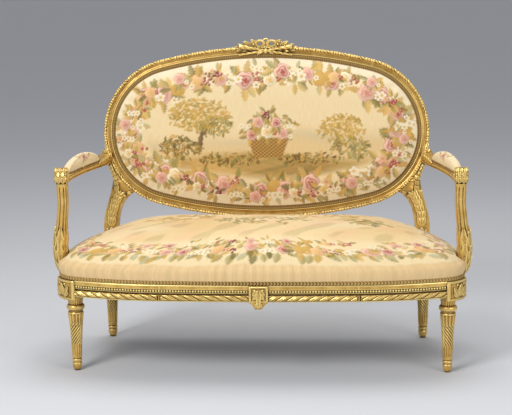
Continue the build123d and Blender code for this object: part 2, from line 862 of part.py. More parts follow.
# Back legs: a turned leg, a square block for the rails and a leaning stile, all of one piece
stile_outer = post_x - stile_shift + stile_width / 2
stile_inner = post_x - stile_shift - stile_width / 2
with BuildPart() as back_leg_right:
    turned_leg(post_x, post_y)
    extrude(post_face(block_bottom), amount=post_block_top - block_bottom)
    with BuildSketch(back_plane.offset(-stile_depth / 2)):
        with BuildLine():
            touch = polar((oval_end_u, oval_centre_v), oval_end_radius - stile_merge, -stile_top_turn)
            flare = polar((oval_end_u, oval_centre_v), oval_end_radius - stile_merge, -stile_foot_turn)
            Line((stile_inner, 0), (stile_outer, 0))
            Spline(
                (stile_outer, 0),
                (stile_outer, stile_straight),
                (oval_half_width - stile_waist, stile_waist_v),
                touch,
                tangents=((0, 1), (stile_lean, 1)),
            )
            Line(touch, (oval_end_u, oval_centre_v))
            Line((oval_end_u, oval_centre_v), flare)
            Spline(
                flare,
                (stile_inner, stile_straight),
                (stile_inner, 0),
                tangents=((1, -stile_lean), (0, -1)),
            )
        make_face()
    extrude(amount=stile_depth)
    extrude(oval_face(0, -frame_back), amount=frame_back + frame_front, mode=Mode.SUBTRACT)
    split(bisect_by=Plane.XY.offset(arm_base), keep=Keep.BOTTOM)
    mortise(upright_plane(rear_tenon_at, (0, 1), tenon_z), rear_tenon_length)
    mortise(upright_plane((post_inner_x, back_tenon_y), (1, 0), tenon_z), rear_tenon_length)
    pegs(1, Mode.SUBTRACT)
    post_dowels(1, Mode.SUBTRACT)
back_leg_right.part.label = "back_leg_right"
export_step(back_leg_right.part, "parts/back_leg_right.step")

with BuildPart() as back_leg_left:
    mirror(back_leg_right.part, about=Plane.YZ)
back_leg_left.part.label = "back_leg_left"
export_step(back_leg_left.part, "parts/back_leg_left.step")


def arm_place(share):
    """Give a point of the right arm's middle line and its direction, from the back frame to the hand."""
    root_x = arm_root_x + arm_width / 2 - arm_let_in
    run = arm_front_x - root_x
    reach = hand_front_y - arm_root_y
    turn = share * pi / 2
    point = (root_x + run * sin(turn), arm_root_y + reach * share)
    slope = (run * pi / 2 * cos(turn), reach)
    length = sqrt(slope[0] ** 2 + slope[1] ** 2)
    return point, (slope[0] / length, slope[1] / length)


hand_front_y = front_middle[1] + hand_setback
hand_middle_y = hand_front_y + hand_length / 2
arm_top = arm_base + arm_height

# Arms, each with a flared root on the oval, a long level run and a hand over the support
with BuildPart() as arm_right:
    for step in range(arm_steps + 1):
        share = arm_root_start + (arm_hand_share - arm_root_start) * step / arm_steps
        flare = max(0, 1 - (share - arm_root_start) / arm_flare_share) ** 2
        height = arm_height + arm_flare_height * flare
        point, direction = arm_place(share)
        with BuildSketch(upright_plane(point, direction, arm_base + height / 2)):
            RectangleRounded(arm_width, height, arm_edge_radius)
    loft(ruled=True)
    split(bisect_by=back_plane.offset(rear_rabbet_w), keep=Keep.TOP)
    hand_plane = Plane(origin=(arm_front_x - hand_width / 2, 0, 0), x_dir=(0, 1, 0), z_dir=(1, 0, 0))
    with BuildSketch(hand_plane):
        with BuildLine():
            hand_back_y = hand_front_y + hand_length
            hand_top = arm_underside + hand_height
            Line((hand_back_y, arm_underside), (hand_front_y + hand_round, arm_underside))
            TangentArc(
                (hand_front_y + hand_round, arm_underside),
                (hand_front_y + hand_round, hand_top),
                tangent=(-1, 0),
            )
            Spline(
                (hand_front_y + hand_round, hand_top),
                (hand_back_y, arm_top + hand_step),
                tangents=((1, 0), (1, 0)),
            )
            Line((hand_back_y, arm_top + hand_step), (hand_back_y, arm_underside))
        make_face()
    extrude(amount=hand_width)
    extrude(oval_face(0, -frame_back), amount=frame_back + frame_front, mode=Mode.SUBTRACT)
    arm_dowel(1, Mode.SUBTRACT)
    stick(
        Plane.XY.offset(arm_underside).move(Location((arm_front_x, hand_middle_y, 0))),
        support_tenon_radius + fit_clearance,
        support_tenon_length + fit_clearance,
        Mode.SUBTRACT,
    )
arm_right.part.label = "arm_right"
export_step(arm_right.part, "parts/arm_right.step")

with BuildPart() as arm_left:
    mirror(arm_right.part, about=Plane.YZ)
arm_left.part.label = "arm_left"
export_step(arm_left.part, "parts/arm_left.step")

# Arm supports, which swell near the seat and lean forward to the hand
support_rise = arm_underside - rail_top
support_lean = hand_middle_y - support_at[1]
support_sections = (
    (0.0, support_foot_shift, support_foot_width, support_foot_depth),
    (0.14, support_swell_shift, support_swell_width, support_swell_depth),
    (0.34, support_swell_shift, support_swell_width, support_swell_depth),
    (0.56, support_foot_shift, support_neck_width, support_neck_depth),
    (0.78, 0.0, support_neck_width, support_neck_depth),
    (1.0, 0.0, hand_width, support_head_depth),
)
with BuildPart() as arm_support_right:
    for share, shift, width, depth in support_sections:
        with BuildSketch(Plane.XY.offset(rail_top + share * support_rise)):
            with Locations((arm_front_x + shift, support_at[1] + share * support_lean)):
                RectangleRounded(width, depth, support_edge_radius)
    loft()
    stick(
        Plane(origin=(*support_at, rail_top), z_dir=(0, 0, -1)),
        support_tenon_radius,
        support_tenon_length,
    )
    stick(
        Plane(origin=(arm_front_x, hand_middle_y, arm_underside), z_dir=(0, 0, 1)),
        support_tenon_radius,
        support_tenon_length,
    )
arm_support_right.part.label = "arm_support_right"
export_step(arm_support_right.part, "parts/arm_support_right.step")

with BuildPart() as arm_support_left:
    mirror(arm_support_right.part, about=Plane.YZ)
arm_support_left.part.label = "arm_support_left"
export_step(arm_support_left.part, "parts/arm_support_left.step")


def pad_section(share, width, height):
    """Draw one rounded section of an arm pad, standing on the arm."""
    point, direction = arm_place(share)
    half = width / 2
    shoulder = half * pad_shoulder
    shoulder_z = height * pad_shoulder_height
    belly = half + height * pad_bulge
    belly_z = height * pad_bulge_height
    with BuildSketch(upright_plane(point, direction, arm_top)) as sketch:
        with BuildLine():
            Line((-half, 0), (half, 0))
            ThreePointArc((half, 0), (belly, belly_z), (shoulder, shoulder_z))
            ThreePointArc((shoulder, shoulder_z), (0, height), (-shoulder, shoulder_z))
            ThreePointArc((-shoulder, shoulder_z), (-belly, belly_z), (-half, 0))
        make_face()
    return sketch.sketch


# Arm pads, bolsters with rounded ends, and the gimp round their feet.
# Each section has its share of the pad's length, width and height.
pad_sections = (
    (0.0, 0.62, 0.3),
    (0.06, 0.88, 0.7),
    (0.2, 1.0, 0.97),
    (0.5, 1.0, 1.0),
    (0.8, 1.0, 0.97),
    (0.94, 0.88, 0.7),
    (1.0, 0.62, 0.3),
)


# The pad stops short of the hand by a gap that leaves room for its gimp.
arm_run = arm_root_y - hand_front_y
pad_end = 1 - (hand_length + pad_hand_gap) / arm_run


def pad_place(along, growth):
    """Give the share of the arm's run at a share of the pad's length, with the pad grown at both ends."""
    ends = growth / arm_run * (2 * along - 1)
    return pad_start + (pad_end - pad_start) * along + ends


def pad_form(growth, mode=Mode.ADD):
    """Make the arm pad, grown on its sides, top and ends."""
    loft(
        [
            pad_section(pad_place(along, growth), pad_width * wide + 2 * growth, pad_height * high + growth)
            for along, wide, high in pad_sections
        ],
        mode=mode,
    )


with BuildPart() as arm_pad_right:
    pad_form(0)
arm_pad_right.part.label = "arm_pad_right"
export_step(arm_pad_right.part, "parts/arm_pad_right.step")

with BuildPart() as arm_gimp_right:
    for along, wide, high in pad_sections:
        point, direction = arm_place(pad_place(along, pad_gimp_thickness))
        with BuildSketch(upright_plane(point, direction, arm_top + pad_gimp_height / 2)):
            Rectangle(pad_width * wide + 2 * pad_gimp_thickness, pad_gimp_height)
    loft()
    pad_form(cloth_clearance, Mode.SUBTRACT)
arm_gimp_right.part.label = "arm_gimp_right"
export_step(arm_gimp_right.part, "parts/arm_gimp_right.step")

with BuildPart() as arm_pad_left:
    mirror(arm_pad_right.part, about=Plane.YZ)
arm_pad_left.part.label = "arm_pad_left"
export_step(arm_pad_left.part, "parts/arm_pad_left.step")

with BuildPart() as arm_gimp_left:
    mirror(arm_gimp_right.part, about=Plane.YZ)
arm_gimp_left.part.label = "arm_gimp_left"
export_step(arm_gimp_left.part, "parts/arm_gimp_left.step")


def support_room(growth, mode):
    """Cut the room that the two arm supports take in the seat upholstery."""
    inner = arm_front_x - support_neck_width / 2 - growth
    lean = support_lean * support_room_share
    for side in (1, -1):
        with BuildSketch(Plane.XY.offset(rail_top)) as sketch:
            with Locations((side * inner, support_at[1] + lean / 2)):
                Rectangle(
                    room_width,
                    support_swell_depth - lean + 2 * growth,
                    align=(Align.MIN if side > 0 else Align.MAX, Align.CENTER),
                )
        extrude(sketch.sketch, amount=support_rise, mode=mode)


def post_room(mode):
    """Cut the room that the two back posts take in the seat upholstery."""
    for side in (1, -1):
        with BuildSketch(Plane.XY.offset(rail_top)) as sketch:
            inner = stile_inner - cloth_clearance
            with Locations((side * inner, pivot_y - stile_depth / 2 - cloth_clearance)):
                Rectangle(
                    room_width,
                    overall_depth,
                    align=(Align.MIN if side > 0 else Align.MAX, Align.MIN),
                )
        extrude(sketch.sketch, amount=arm_underside - rail_top, mode=mode)


# Seat webbing under the rails: straps from side to side, and straps from front to back above them
web_low = rail_bottom + rabbet_height - 2 * web_thickness
web_inset = rail_lip + cloth_clearance
spring_middle_y = seat_middle_y
with BuildPart() as seat_webbing_long:
    with BuildSketch(Plane.XY.offset(web_low)):
        with Locations((0, spring_middle_y)):
            with GridLocations(0, spring_row_gap, 1, spring_rows):
                Rectangle(4 * post_x, web_width)
    extrude(amount=web_thickness)
    seat_sheet(web_low, web_thickness, web_inset, Mode.INTERSECT)
    cut_blocks(web_low, web_thickness, cloth_clearance)
seat_webbing_long.part.label = "seat_webbing_long"
export_step(seat_webbing_long.part, "parts/seat_webbing_long.step")

with BuildPart() as seat_webbing_cross:
    with BuildSketch(Plane.XY.offset(web_low + web_thickness)):
        with Locations((0, spring_middle_y)):
            with GridLocations(spring_column_gap / 2, 0, 2 * spring_columns - 1, 1):
                Rectangle(web_width, overall_depth)
    extrude(amount=web_thickness)
    seat_sheet(web_low + web_thickness, web_thickness, web_inset, Mode.INTERSECT)
seat_webbing_cross.part.label = "seat_webbing_cross"
export_step(seat_webbing_cross.part, "parts/seat_webbing_cross.step")

with BuildPart() as dust_cover:
    seat_sheet(web_low - dust_thickness, dust_thickness, web_inset)
    cut_blocks(web_low - dust_thickness, dust_thickness, cloth_clearance)
dust_cover.part.label = "dust_cover"
export_step(dust_cover.part, "parts/dust_cover.step")

# Waisted seat springs, each one wire, on the webbing
spring_low = rail_bottom + rabbet_height
spring_rise = spring_top - spring_low - 2 * spring_wire


def spring_point(turn):
    """Give the point of a spring's wire after a number of turns."""
    share = turn / spring_turns
    radius = spring_waist + (spring_radius - spring_wire - spring_waist) * (2 * share - 1) ** 2
    height = spring_low + spring_wire + spring_rise * share * share * (3 - 2 * share)
    angle = 2 * pi * turn
    return Vector(radius * cos(angle), radius * sin(angle), height)


def spring_slope(turn):
    """Give the direction of a spring's wire after a number of turns."""
    step = 0.001
    return (spring_point(turn + step) - spring_point(turn - step)).normalized()


def biarc_joint(start, start_slope, end, end_slope):
    """Give the point where two arcs that leave two points along their slopes meet smoothly."""
    run = end - start
    slopes = start_slope + end_slope
    spread = 2 * (1 - start_slope.dot(end_slope))
    along = run.dot(slopes)
    reach = (sqrt(along**2 + spread * run.dot(run)) - along) / spread
    return (start + end + (start_slope - end_slope) * reach) * 0.5


quarter_turns = [0.25 * quarter for quarter in range(4 * spring_turns + 1)]
with BuildPart() as spring:
    with BuildLine() as spring_line:
        for start_turn, end_turn in zip(quarter_turns, quarter_turns[1:]):
            start, end = spring_point(start_turn), spring_point(end_turn)
            start_slope, end_slope = spring_slope(start_turn), spring_slope(end_turn)
            joint = biarc_joint(start, start_slope, end, end_slope)
            first_arc = TangentArc(start, joint, tangent=start_slope)
            TangentArc(joint, end, tangent=first_arc % 1)
    with BuildSketch(Plane(origin=spring_point(0), z_dir=spring_slope(0))):
        Circle(spring_wire)
    sweep(path=spring_line.line)

spring_marks = [spring_point(0.05 * mark) for mark in range(20 * spring_turns + 1)]
spring_gap = min(
    (spring_marks[one] - spring_marks[other]).length - 2 * spring_wire
    for one in range(len(spring_marks))
    for other in range(one + 10, len(spring_marks))
)
print(f"least gap between a spring's turns {spring_gap:.1f} mm")

with BuildPart() as seat_springs:
    with Locations((0, spring_middle_y)):
        with GridLocations(spring_column_gap, spring_row_gap, spring_columns, spring_rows):
            add(spring.part)
seat_springs.part.label = "seat_springs"
export_step(seat_springs.part, "parts/seat_springs.step")

# Cords that lash the springs together over their tops
cord_z = spring_top + cord_radius
cord_run = (spring_columns - 1) * spring_column_gap + 2 * spring_radius
cord_span = (spring_rows - 1) * spring_row_gap + 2 * spring_radius
with BuildPart() as spring_lashing:
    with Locations((0, spring_middle_y, cord_z)):
        with GridLocations(0, spring_row_gap, 1, spring_rows):
            Cylinder(cord_radius, cord_run, rotation=(0, 90, 0))
        with GridLocations(spring_column_gap, 0, spring_columns, 1):
            Cylinder(cord_radius, cord_span, rotation=(90, 0, 0))
spring_lashing.part.label = "spring_lashing"
export_step(spring_lashing.part, "parts/spring_lashing.step")

# Hessian stretched over the springs from rail to rail
hessian_top = spring_top + 2 * cord_radius + hessian_thickness
hessian_inner = hessian_seat + hessian_thickness
with BuildPart() as hessian_room:
    loft([seat_face(rail_top, hessian_seat), seat_face(hessian_top, hessian_seat, hessian_top_share)])

with BuildPart() as seat_hessian:
    add(hessian_room.part)
    loft(
        [
            seat_face(rail_top, hessian_inner),
            seat_face(hessian_top - hessian_thickness, hessian_inner, hessian_top_share),
        ],
        mode=Mode.SUBTRACT,
    )
    support_room(cloth_clearance, Mode.SUBTRACT)
    post_room(Mode.SUBTRACT)
seat_hessian.part.label = "seat_hessian"
export_step(seat_hessian.part, "parts/seat_hessian.step")

# Seat crown: it bulges a little over the gimp, then draws in towards the top
seat_cover_inset = top_band_setback + seat_gimp_thickness
seat_band_top = rail_top + seat_gimp_height


def seat_crown(inset, drop, mode=Mode.ADD):
    """Make the crowned seat above the gimp."""
    sections = []
    for step in range(seat_steps + 1):
        rise = seat_top_share * sin(step / seat_steps * pi / 2)
        share = sqrt(1 - rise**3) + seat_bulge * sin(pi * min(rise / seat_bulge_reach, 1))
        z = seat_band_top + rise * (seat_crown_z - seat_band_top - drop)
        sections.append(seat_face(z, inset, share))
    loft(sections, ruled=True, mode=mode)


with BuildPart() as seat_stuffing:
    seat_sheet(rail_top, seat_gimp_height, seat_cover_inset + cover_thickness)
    seat_crown(seat_cover_inset + cover_thickness, cover_thickness)
    add(hessian_room.part, mode=Mode.SUBTRACT)
    support_room(cloth_clearance + cover_thickness, Mode.SUBTRACT)
    post_room(Mode.SUBTRACT)
seat_stuffing.part.label = "seat_stuffing"
export_step(seat_stuffing.part, "parts/seat_stuffing.step")

with BuildPart() as seat_cover:
    seat_sheet(rail_top, seat_gimp_height, seat_cover_inset)
    seat_crown(seat_cover_inset, 0)
    seat_sheet(rail_top, seat_gimp_height, seat_cover_inset + cover_thickness, Mode.SUBTRACT)
    seat_crown(seat_cover_inset + cover_thickness, cover_thickness, Mode.SUBTRACT)
    support_room(cloth_clearance, Mode.SUBTRACT)
    post_room(Mode.SUBTRACT)
seat_cover.part.label = "seat_cover"
export_step(seat_cover.part, "parts/seat_cover.step")

# Gimp round the foot of the seat, broken where the arm supports stand
with BuildPart() as seat_gimp:
    seat_sheet(rail_top, seat_gimp_height, top_band_setback)
    seat_sheet(rail_top, seat_gimp_height, seat_cover_inset, Mode.SUBTRACT)
    support_room(cloth_clearance, Mode.SUBTRACT)
    post_room(Mode.SUBTRACT)
    with Locations((0, post_front_y, rail_top)):
        Box(
            4 * post_x,
            overall_depth,
            2 * seat_gimp_height,
            align=(Align.CENTER, Align.MIN, Align.CENTER),
            mode=Mode.SUBTRACT,
        )
seat_gimp.part.label = "seat_gimp"
export_step(seat_gimp.part, "parts/seat_gimp.step")

# Back upholstery: webbing and hessian on the rabbet, then a crowned pad under its cover
rabbet_inset = frame_width - gimp_width + cloth_clearance
web_top_w = back_rabbet_w + web_thickness
hessian_top_w = web_top_w + hessian_thickness
with BuildPart() as back_webbing:
    with BuildSketch(back_plane.offset(back_rabbet_w)):
        with Locations((0, oval_centre_v)):
            with GridLocations(back_web_gap, 0, back_web_count, 1):
                Rectangle(web_width, 2 * oval_half_height)
            with GridLocations(0, back_web_gap, 1, back_web_rows):
                Rectangle(2 * oval_half_width, web_width)
    extrude(amount=web_thickness)
    extrude(oval_face(rabbet_inset, back_rabbet_w), amount=web_thickness, mode=Mode.INTERSECT)
back_webbing.part.label = "back_webbing"
export_step(back_webbing.part, "parts/back_webbing.step")

with BuildPart() as back_hessian:
    extrude(oval_face(rabbet_inset, web_top_w), amount=hessian_thickness)
back_hessian.part.label = "back_hessian"
export_step(back_hessian.part, "parts/back_hessian.step")


def back_form(inset, base_w, crown_w, mode=Mode.ADD):
    """Make the crowned form of the back: steep at the frame's inner edge, nearly flat in the middle."""
    sections = []
    for step in range(back_steps + 1):
        turn = step / back_steps * pi / 2
        set_in = frame_width + inset + back_crown_reach * (1 - cos(turn)) ** back_crown_power
        sections.append(oval_face(set_in, base_w + (crown_w - base_w) * sin(turn)))
    loft(sections, ruled=True, mode=mode)


back_crown_w = wall_w + back_crown
with BuildPart() as back_pad:
    back_form(back_cover_thickness, hessian_top_w, back_crown_w - back_cover_thickness)
back_pad.part.label = "back_pad"
export_step(back_pad.part, "parts/back_pad.step")

with BuildPart() as back_cover:
    extrude(oval_face(rabbet_inset, hessian_top_w), amount=wall_w - hessian_top_w)
    back_form(0, wall_w, back_crown_w)
    back_form(back_cover_thickness, hessian_top_w, back_crown_w - back_cover_thickness, Mode.SUBTRACT)
back_cover.part.label = "back_cover"
export_step(back_cover.part, "parts/back_cover.step")

with BuildPart() as back_gimp:
    extrude(oval_face(rabbet_inset, wall_w), amount=back_gimp_thickness)
    extrude(oval_face(frame_width, wall_w), amount=back_gimp_thickness, mode=Mode.SUBTRACT)
    back_form(0, wall_w, back_crown_w, Mode.SUBTRACT)
back_gimp.part.label = "back_gimp"
export_step(back_gimp.part, "parts/back_gimp.step")

# Outside back: a plain cloth in the rear rabbet, with its own gimp
with BuildPart() as outside_back_cover:
    extrude(oval_face(rabbet_inset, rear_rabbet_w), amount=-cover_thickness)
outside_back_cover.part.label = "outside_back_cover"
export_step(outside_back_cover.part, "parts/outside_back_cover.step")

with BuildPart() as outside_back_gimp:
    gimp_w = rear_rabbet_w - cover_thickness
    extrude(oval_face(rabbet_inset, gimp_w), amount=-rear_gimp_thickness)
    extrude(oval_face(frame_width, gimp_w), amount=-rear_gimp_thickness, mode=Mode.SUBTRACT)
outside_back_gimp.part.label = "outside_back_gimp"
export_step(outside_back_gimp.part, "parts/outside_back_gimp.step")

# Crest: roses on a bow of ribbon, over two crossed torches, carved in one piece
crest_v = oval_top_v + crest_lift
torch_v = oval_top_v - torch_drop


def rose(u, v, w, radius):
    """Make one carved rose: a heart and a ring of petals."""
    for petal in range(rose_petals):
        angle = 2 * pi * petal / rose_petals
        reach = radius - rose_petal_radius
        with Locations(on_back(u + reach * cos(angle), v + reach * sin(angle), w)):
            Sphere(rose_petal_radius)
    with Locations(on_back(u, v, w + rose_petal_radius / 3)):
        Sphere(radius - rose_petal_radius)


with BuildPart() as crest_carving:
    rose(0, crest_v, crest_w, crest_rose_radius)
    for side in (1, -1):
        rose(side * crest_rose_gap, crest_v - crest_fall, crest_w, crest_side_radius)
        with BuildSketch(back_plane.offset(crest_w - crest_leaf_depth / 2)) as leaf:
            with BuildLine():
                tip = (side * crest_half_width, oval_top_v - crest_leaf_fall)
                root = (0, crest_v - crest_leaf_width / 2)
                shoulder = (side * crest_rose_gap, crest_v)
                under = (side * crest_rose_gap, crest_v - crest_leaf_width - crest_fall)
                Spline(root, shoulder, tip)
                Spline(tip, under, root)
            make_face()
        extrude(leaf.sketch, amount=crest_leaf_depth)
        torch_slope = (Vector(side, 0, 0) + back_up * torch_lean).normalized()
        torch_at = on_back(0, torch_v, torch_w) - torch_slope * torch_length / 2
        stick(Plane(origin=torch_at, z_dir=torch_slope), torch_radius, torch_length)
    add(back_top_rail.part, mode=Mode.SUBTRACT)
crest_carving.part.label = "crest_carving"
export_step(crest_carving.part, "parts/crest_carving.step")
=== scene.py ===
"""Looks of an oval-back giltwood settee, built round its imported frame, in metres."""

import logging
from collections.abc import Callable, Sequence
from dataclasses import dataclass, field
from enum import Enum, IntEnum
from math import asin, atan2, ceil, copysign, cos, exp, hypot, pi, radians, sin, sqrt, tan

import bmesh
import bpy
import numpy as np
from mathutils import Matrix, Vector


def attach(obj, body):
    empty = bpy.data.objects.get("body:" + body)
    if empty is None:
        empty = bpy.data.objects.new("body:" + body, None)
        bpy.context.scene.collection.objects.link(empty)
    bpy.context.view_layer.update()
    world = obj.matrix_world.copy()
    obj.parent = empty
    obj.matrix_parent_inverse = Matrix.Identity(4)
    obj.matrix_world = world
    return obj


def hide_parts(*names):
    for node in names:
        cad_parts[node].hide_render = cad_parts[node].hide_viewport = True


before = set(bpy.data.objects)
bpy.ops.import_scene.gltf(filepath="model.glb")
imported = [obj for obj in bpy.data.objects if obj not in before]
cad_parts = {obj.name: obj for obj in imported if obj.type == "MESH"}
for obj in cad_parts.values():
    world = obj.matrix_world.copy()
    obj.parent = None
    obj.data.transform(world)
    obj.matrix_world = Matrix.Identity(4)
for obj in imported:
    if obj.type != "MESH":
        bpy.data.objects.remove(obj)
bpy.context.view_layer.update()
log = logging.getLogger("settee")

Array = np.ndarray
Piece = bpy.types.Object
Material = bpy.types.Material
Mesh = bpy.types.Mesh
Socket = bpy.types.NodeSocket
Point = tuple[float, float]
Triple = tuple[float, float, float]
Colour = Triple
Place = Callable[[float, float], Vector]

UP = Vector((0, 0, 1))
WELD = 1e-6
LEG_TOP = 0.2500
SOFT_CREASE = 180.0


class Side(IntEnum):
    """The two halves of the settee, seen from the front."""

    LEFT = -1
    RIGHT = 1

    @property
    def word(self) -> str:
        """Give the half's name as the pieces use it."""
        return self.name.lower()


def linear(red: int, green: int, blue: int) -> Colour:
    """Turn a screen's red, green and blue, from 0 to 255, into the light that a shader takes."""
    return tuple(((value / 255 + 0.055) / 1.055) ** 2.4 for value in (red, green, blue))


class Dye(Enum):
    """Wools of the tapestry and the braids, and the braids' painted shade."""

    CREAM = linear(243, 222, 178)
    PALE = linear(250, 237, 208)
    TAN = linear(232, 201, 150)
    SAND = linear(224, 190, 132)
    OCHRE = linear(212, 168, 94)
    GOLD = linear(202, 164, 80)
    HONEY = linear(226, 188, 110)
    OLIVE = linear(160, 146, 82)
    MOSS = linear(126, 116, 66)
    SAGE = linear(190, 180, 132)
    BROWN = linear(118, 82, 46)
    UMBER = linear(74, 50, 30)
    PEACH = linear(240, 192, 152)
    BLUSH = linear(238, 200, 178)
    ROSE = linear(216, 146, 128)
    CARMINE = linear(178, 86, 78)
    WINE = linear(136, 62, 60)
    MIST = linear(186, 188, 164)
    BRAID = linear(196, 164, 100)
    # Painted shade of the braids, not a wool of their own.
    BRAID_SHADE = linear(110, 82, 44)

    @property
    def wool(self) -> Array:
        """Give the colour as an array."""
        return np.array(self.value)


GREENS = (Dye.OLIVE, Dye.MOSS, Dye.GOLD, Dye.SAGE)
GOLDS = (Dye.GOLD, Dye.OCHRE, Dye.HONEY, Dye.OLIVE)
BROWNS = (Dye.BROWN, Dye.OLIVE, Dye.OCHRE, Dye.MOSS)


def ease(low: float | Array, high: float | Array, value: float | Array) -> Array:
    """Give a value's share of a smooth rise from 0 at low to 1 at high, which may be the smaller."""
    share = np.clip((value - low) / (high - low), 0, 1)
    return share * share * (3 - 2 * share)


def bow(value: float, power: float) -> float:
    """Raise a sine or cosine to a power, and keep its sign."""
    return copysign(abs(value) ** power, value)


def mingle(low: Array, high: Array, share: Array) -> Array:
    """Blend two colours by a share for each point."""
    return low * (1 - share[:, None]) + high * share[:, None]


def wash(colours: Array, share: Array, dye: Dye) -> None:
    """Draw the points' colours towards a dye, each by its own share."""
    colours += share[:, None] * (dye.wool - colours)


def mirrored(side: Side, point: Vector) -> Vector:
    """Give a point of the right half as it lies on a half."""
    return Vector((side * point.x, point.y, point.z))


def corners_of(mesh: Mesh) -> Array:
    """Give a mesh's corners as an array of points.

    Args:
        mesh: The mesh.

    Returns:
        A row for each corner.
    """
    flat = np.empty(len(mesh.vertices) * 3, np.float32)
    mesh.vertices.foreach_get("co", flat)
    return flat.reshape(-1, 3).astype(float)


def place_corners(mesh: Mesh, points: Array) -> None:
    """Move a mesh's corners to an array of points."""
    mesh.vertices.foreach_set("co", points.astype(np.float32).ravel())
    mesh.update()


def soften(mesh: Mesh) -> None:
    """Shade every face of a mesh smoothly."""
    mesh.polygons.foreach_set("use_smooth", [True] * len(mesh.polygons))


def hollow_shade_map(mesh: Mesh, rounds: int = 4, reach: float = 0.0007, far: float = 0.004) -> None:
    """Keep on each corner how deep it lies in a hollow, or below 0 on a ridge, for the gilding's painted
    shade in hollows and painted highlight on ridges.

    Args:
        mesh: The carved mesh.
        rounds: Rounds of smoothing that the carving is compared with.
        reach: Depth at which a hollow counts in full.
        far: Length past which an edge hardly counts.
    """
    points = corners_of(mesh)
    ends = np.empty(len(mesh.edges) * 2, np.int32)
    mesh.edges.foreach_get("vertices", ends)
    one, two = ends.reshape(-1, 2).T
    near = np.exp(-((np.linalg.norm(points[one] - points[two], axis=1) / far) ** 2))
    shares = 0.5 / np.maximum(np.bincount(ends, minlength=len(points)), 1)
    smooth = points.copy()
    for _ in range(rounds):
        for axis in range(3):
            pull = (smooth[two, axis] - smooth[one, axis]) * near
            total = np.bincount(one, pull, len(points)) - np.bincount(two, pull, len(points))
            smooth[:, axis] += total * shares
    normals = np.empty(len(points) * 3, np.float32)
    mesh.vertex_normals.foreach_get("vector", normals)
    depth = np.einsum("ij,ij->i", smooth - points, normals.reshape(-1, 3)) / reach
    hollow = mesh.attributes.new(name="hollow", type="FLOAT", domain="POINT")
    hollow.data.foreach_set("value", np.clip(depth, -1, 1).astype(np.float32))


def tint(mesh: Mesh, colours: Array, threads: Array) -> None:
    """Keep a cloth's colours, painted shade included on the braids, and the run of its threads on its
    corners.

    Args:
        mesh: The cloth.
        colours: One colour for each corner.
        threads: One place in the flat cloth, in metres, for each corner.
    """
    dyes = mesh.color_attributes.new(name="dye", type="FLOAT_COLOR", domain="POINT")
    full = np.ones((len(colours), 4), np.float32)
    full[:, :3] = np.clip(colours, 0, 1)
    dyes.data.foreach_set("color", full.ravel())
    runs = mesh.attributes.new(name="thread", type="FLOAT_VECTOR", domain="POINT")
    flat = np.zeros((len(threads), 3), np.float32)
    flat[:, :2] = threads
    runs.data.foreach_set("vector", flat.ravel())


def divide(section: Sequence[Point], step: float) -> list[Point]:
    """Add corners along a closed section, so that no side is longer than a step.

    Args:
        section: The section's corners.
        step: The longest side.

    Returns:
        The corners with those added.
    """
    full = []
    for one, two in zip(section, [*section[1:], section[0]]):
        count = max(1, ceil(hypot(two[0] - one[0], two[1] - one[1]) / step))
        for index in range(count):
            share = index / count
            full.append((one[0] + (two[0] - one[0]) * share, one[1] + (two[1] - one[1]) * share))
    return full


def spread(sides: list[Array], middle: Point, a: Array, b: Array) -> tuple[Array, Array]:
    """Map a square on an outline, ring by ring.

    Args:
        sides: The outline's front, right, back and left sides.
        middle: Where the rings shrink to.
        a: The square's x from -1 to 1.
        b: The square's y from -1 to 1.

    Returns:
        The ring of each point from 0 to 1, and the outline's point that it lies towards.
    """
    tiny = 1e-9
    ring = np.maximum(np.abs(a), np.abs(b))
    safe = np.maximum(ring, tiny)
    edge_a = a / safe
    edge_b = b / safe
    found = np.tile(np.array(middle, float), (len(a), 1))
    cases = (
        (edge_b <= -1 + tiny, edge_a),
        (edge_a >= 1 - tiny, edge_b),
        (edge_b >= 1 - tiny, -edge_a),
        (edge_a <= -1 + tiny, -edge_b),
    )
    for (chosen, share), side in zip(cases, sides):
        runs = np.concatenate(([0], np.cumsum(np.hypot(*np.diff(side, axis=0).T))))
        where = (share[chosen] + 1) / 2 * runs[-1]
        for axis in range(2):
            found[chosen, axis] = np.interp(where, runs, side[:, axis])
    return ring, found


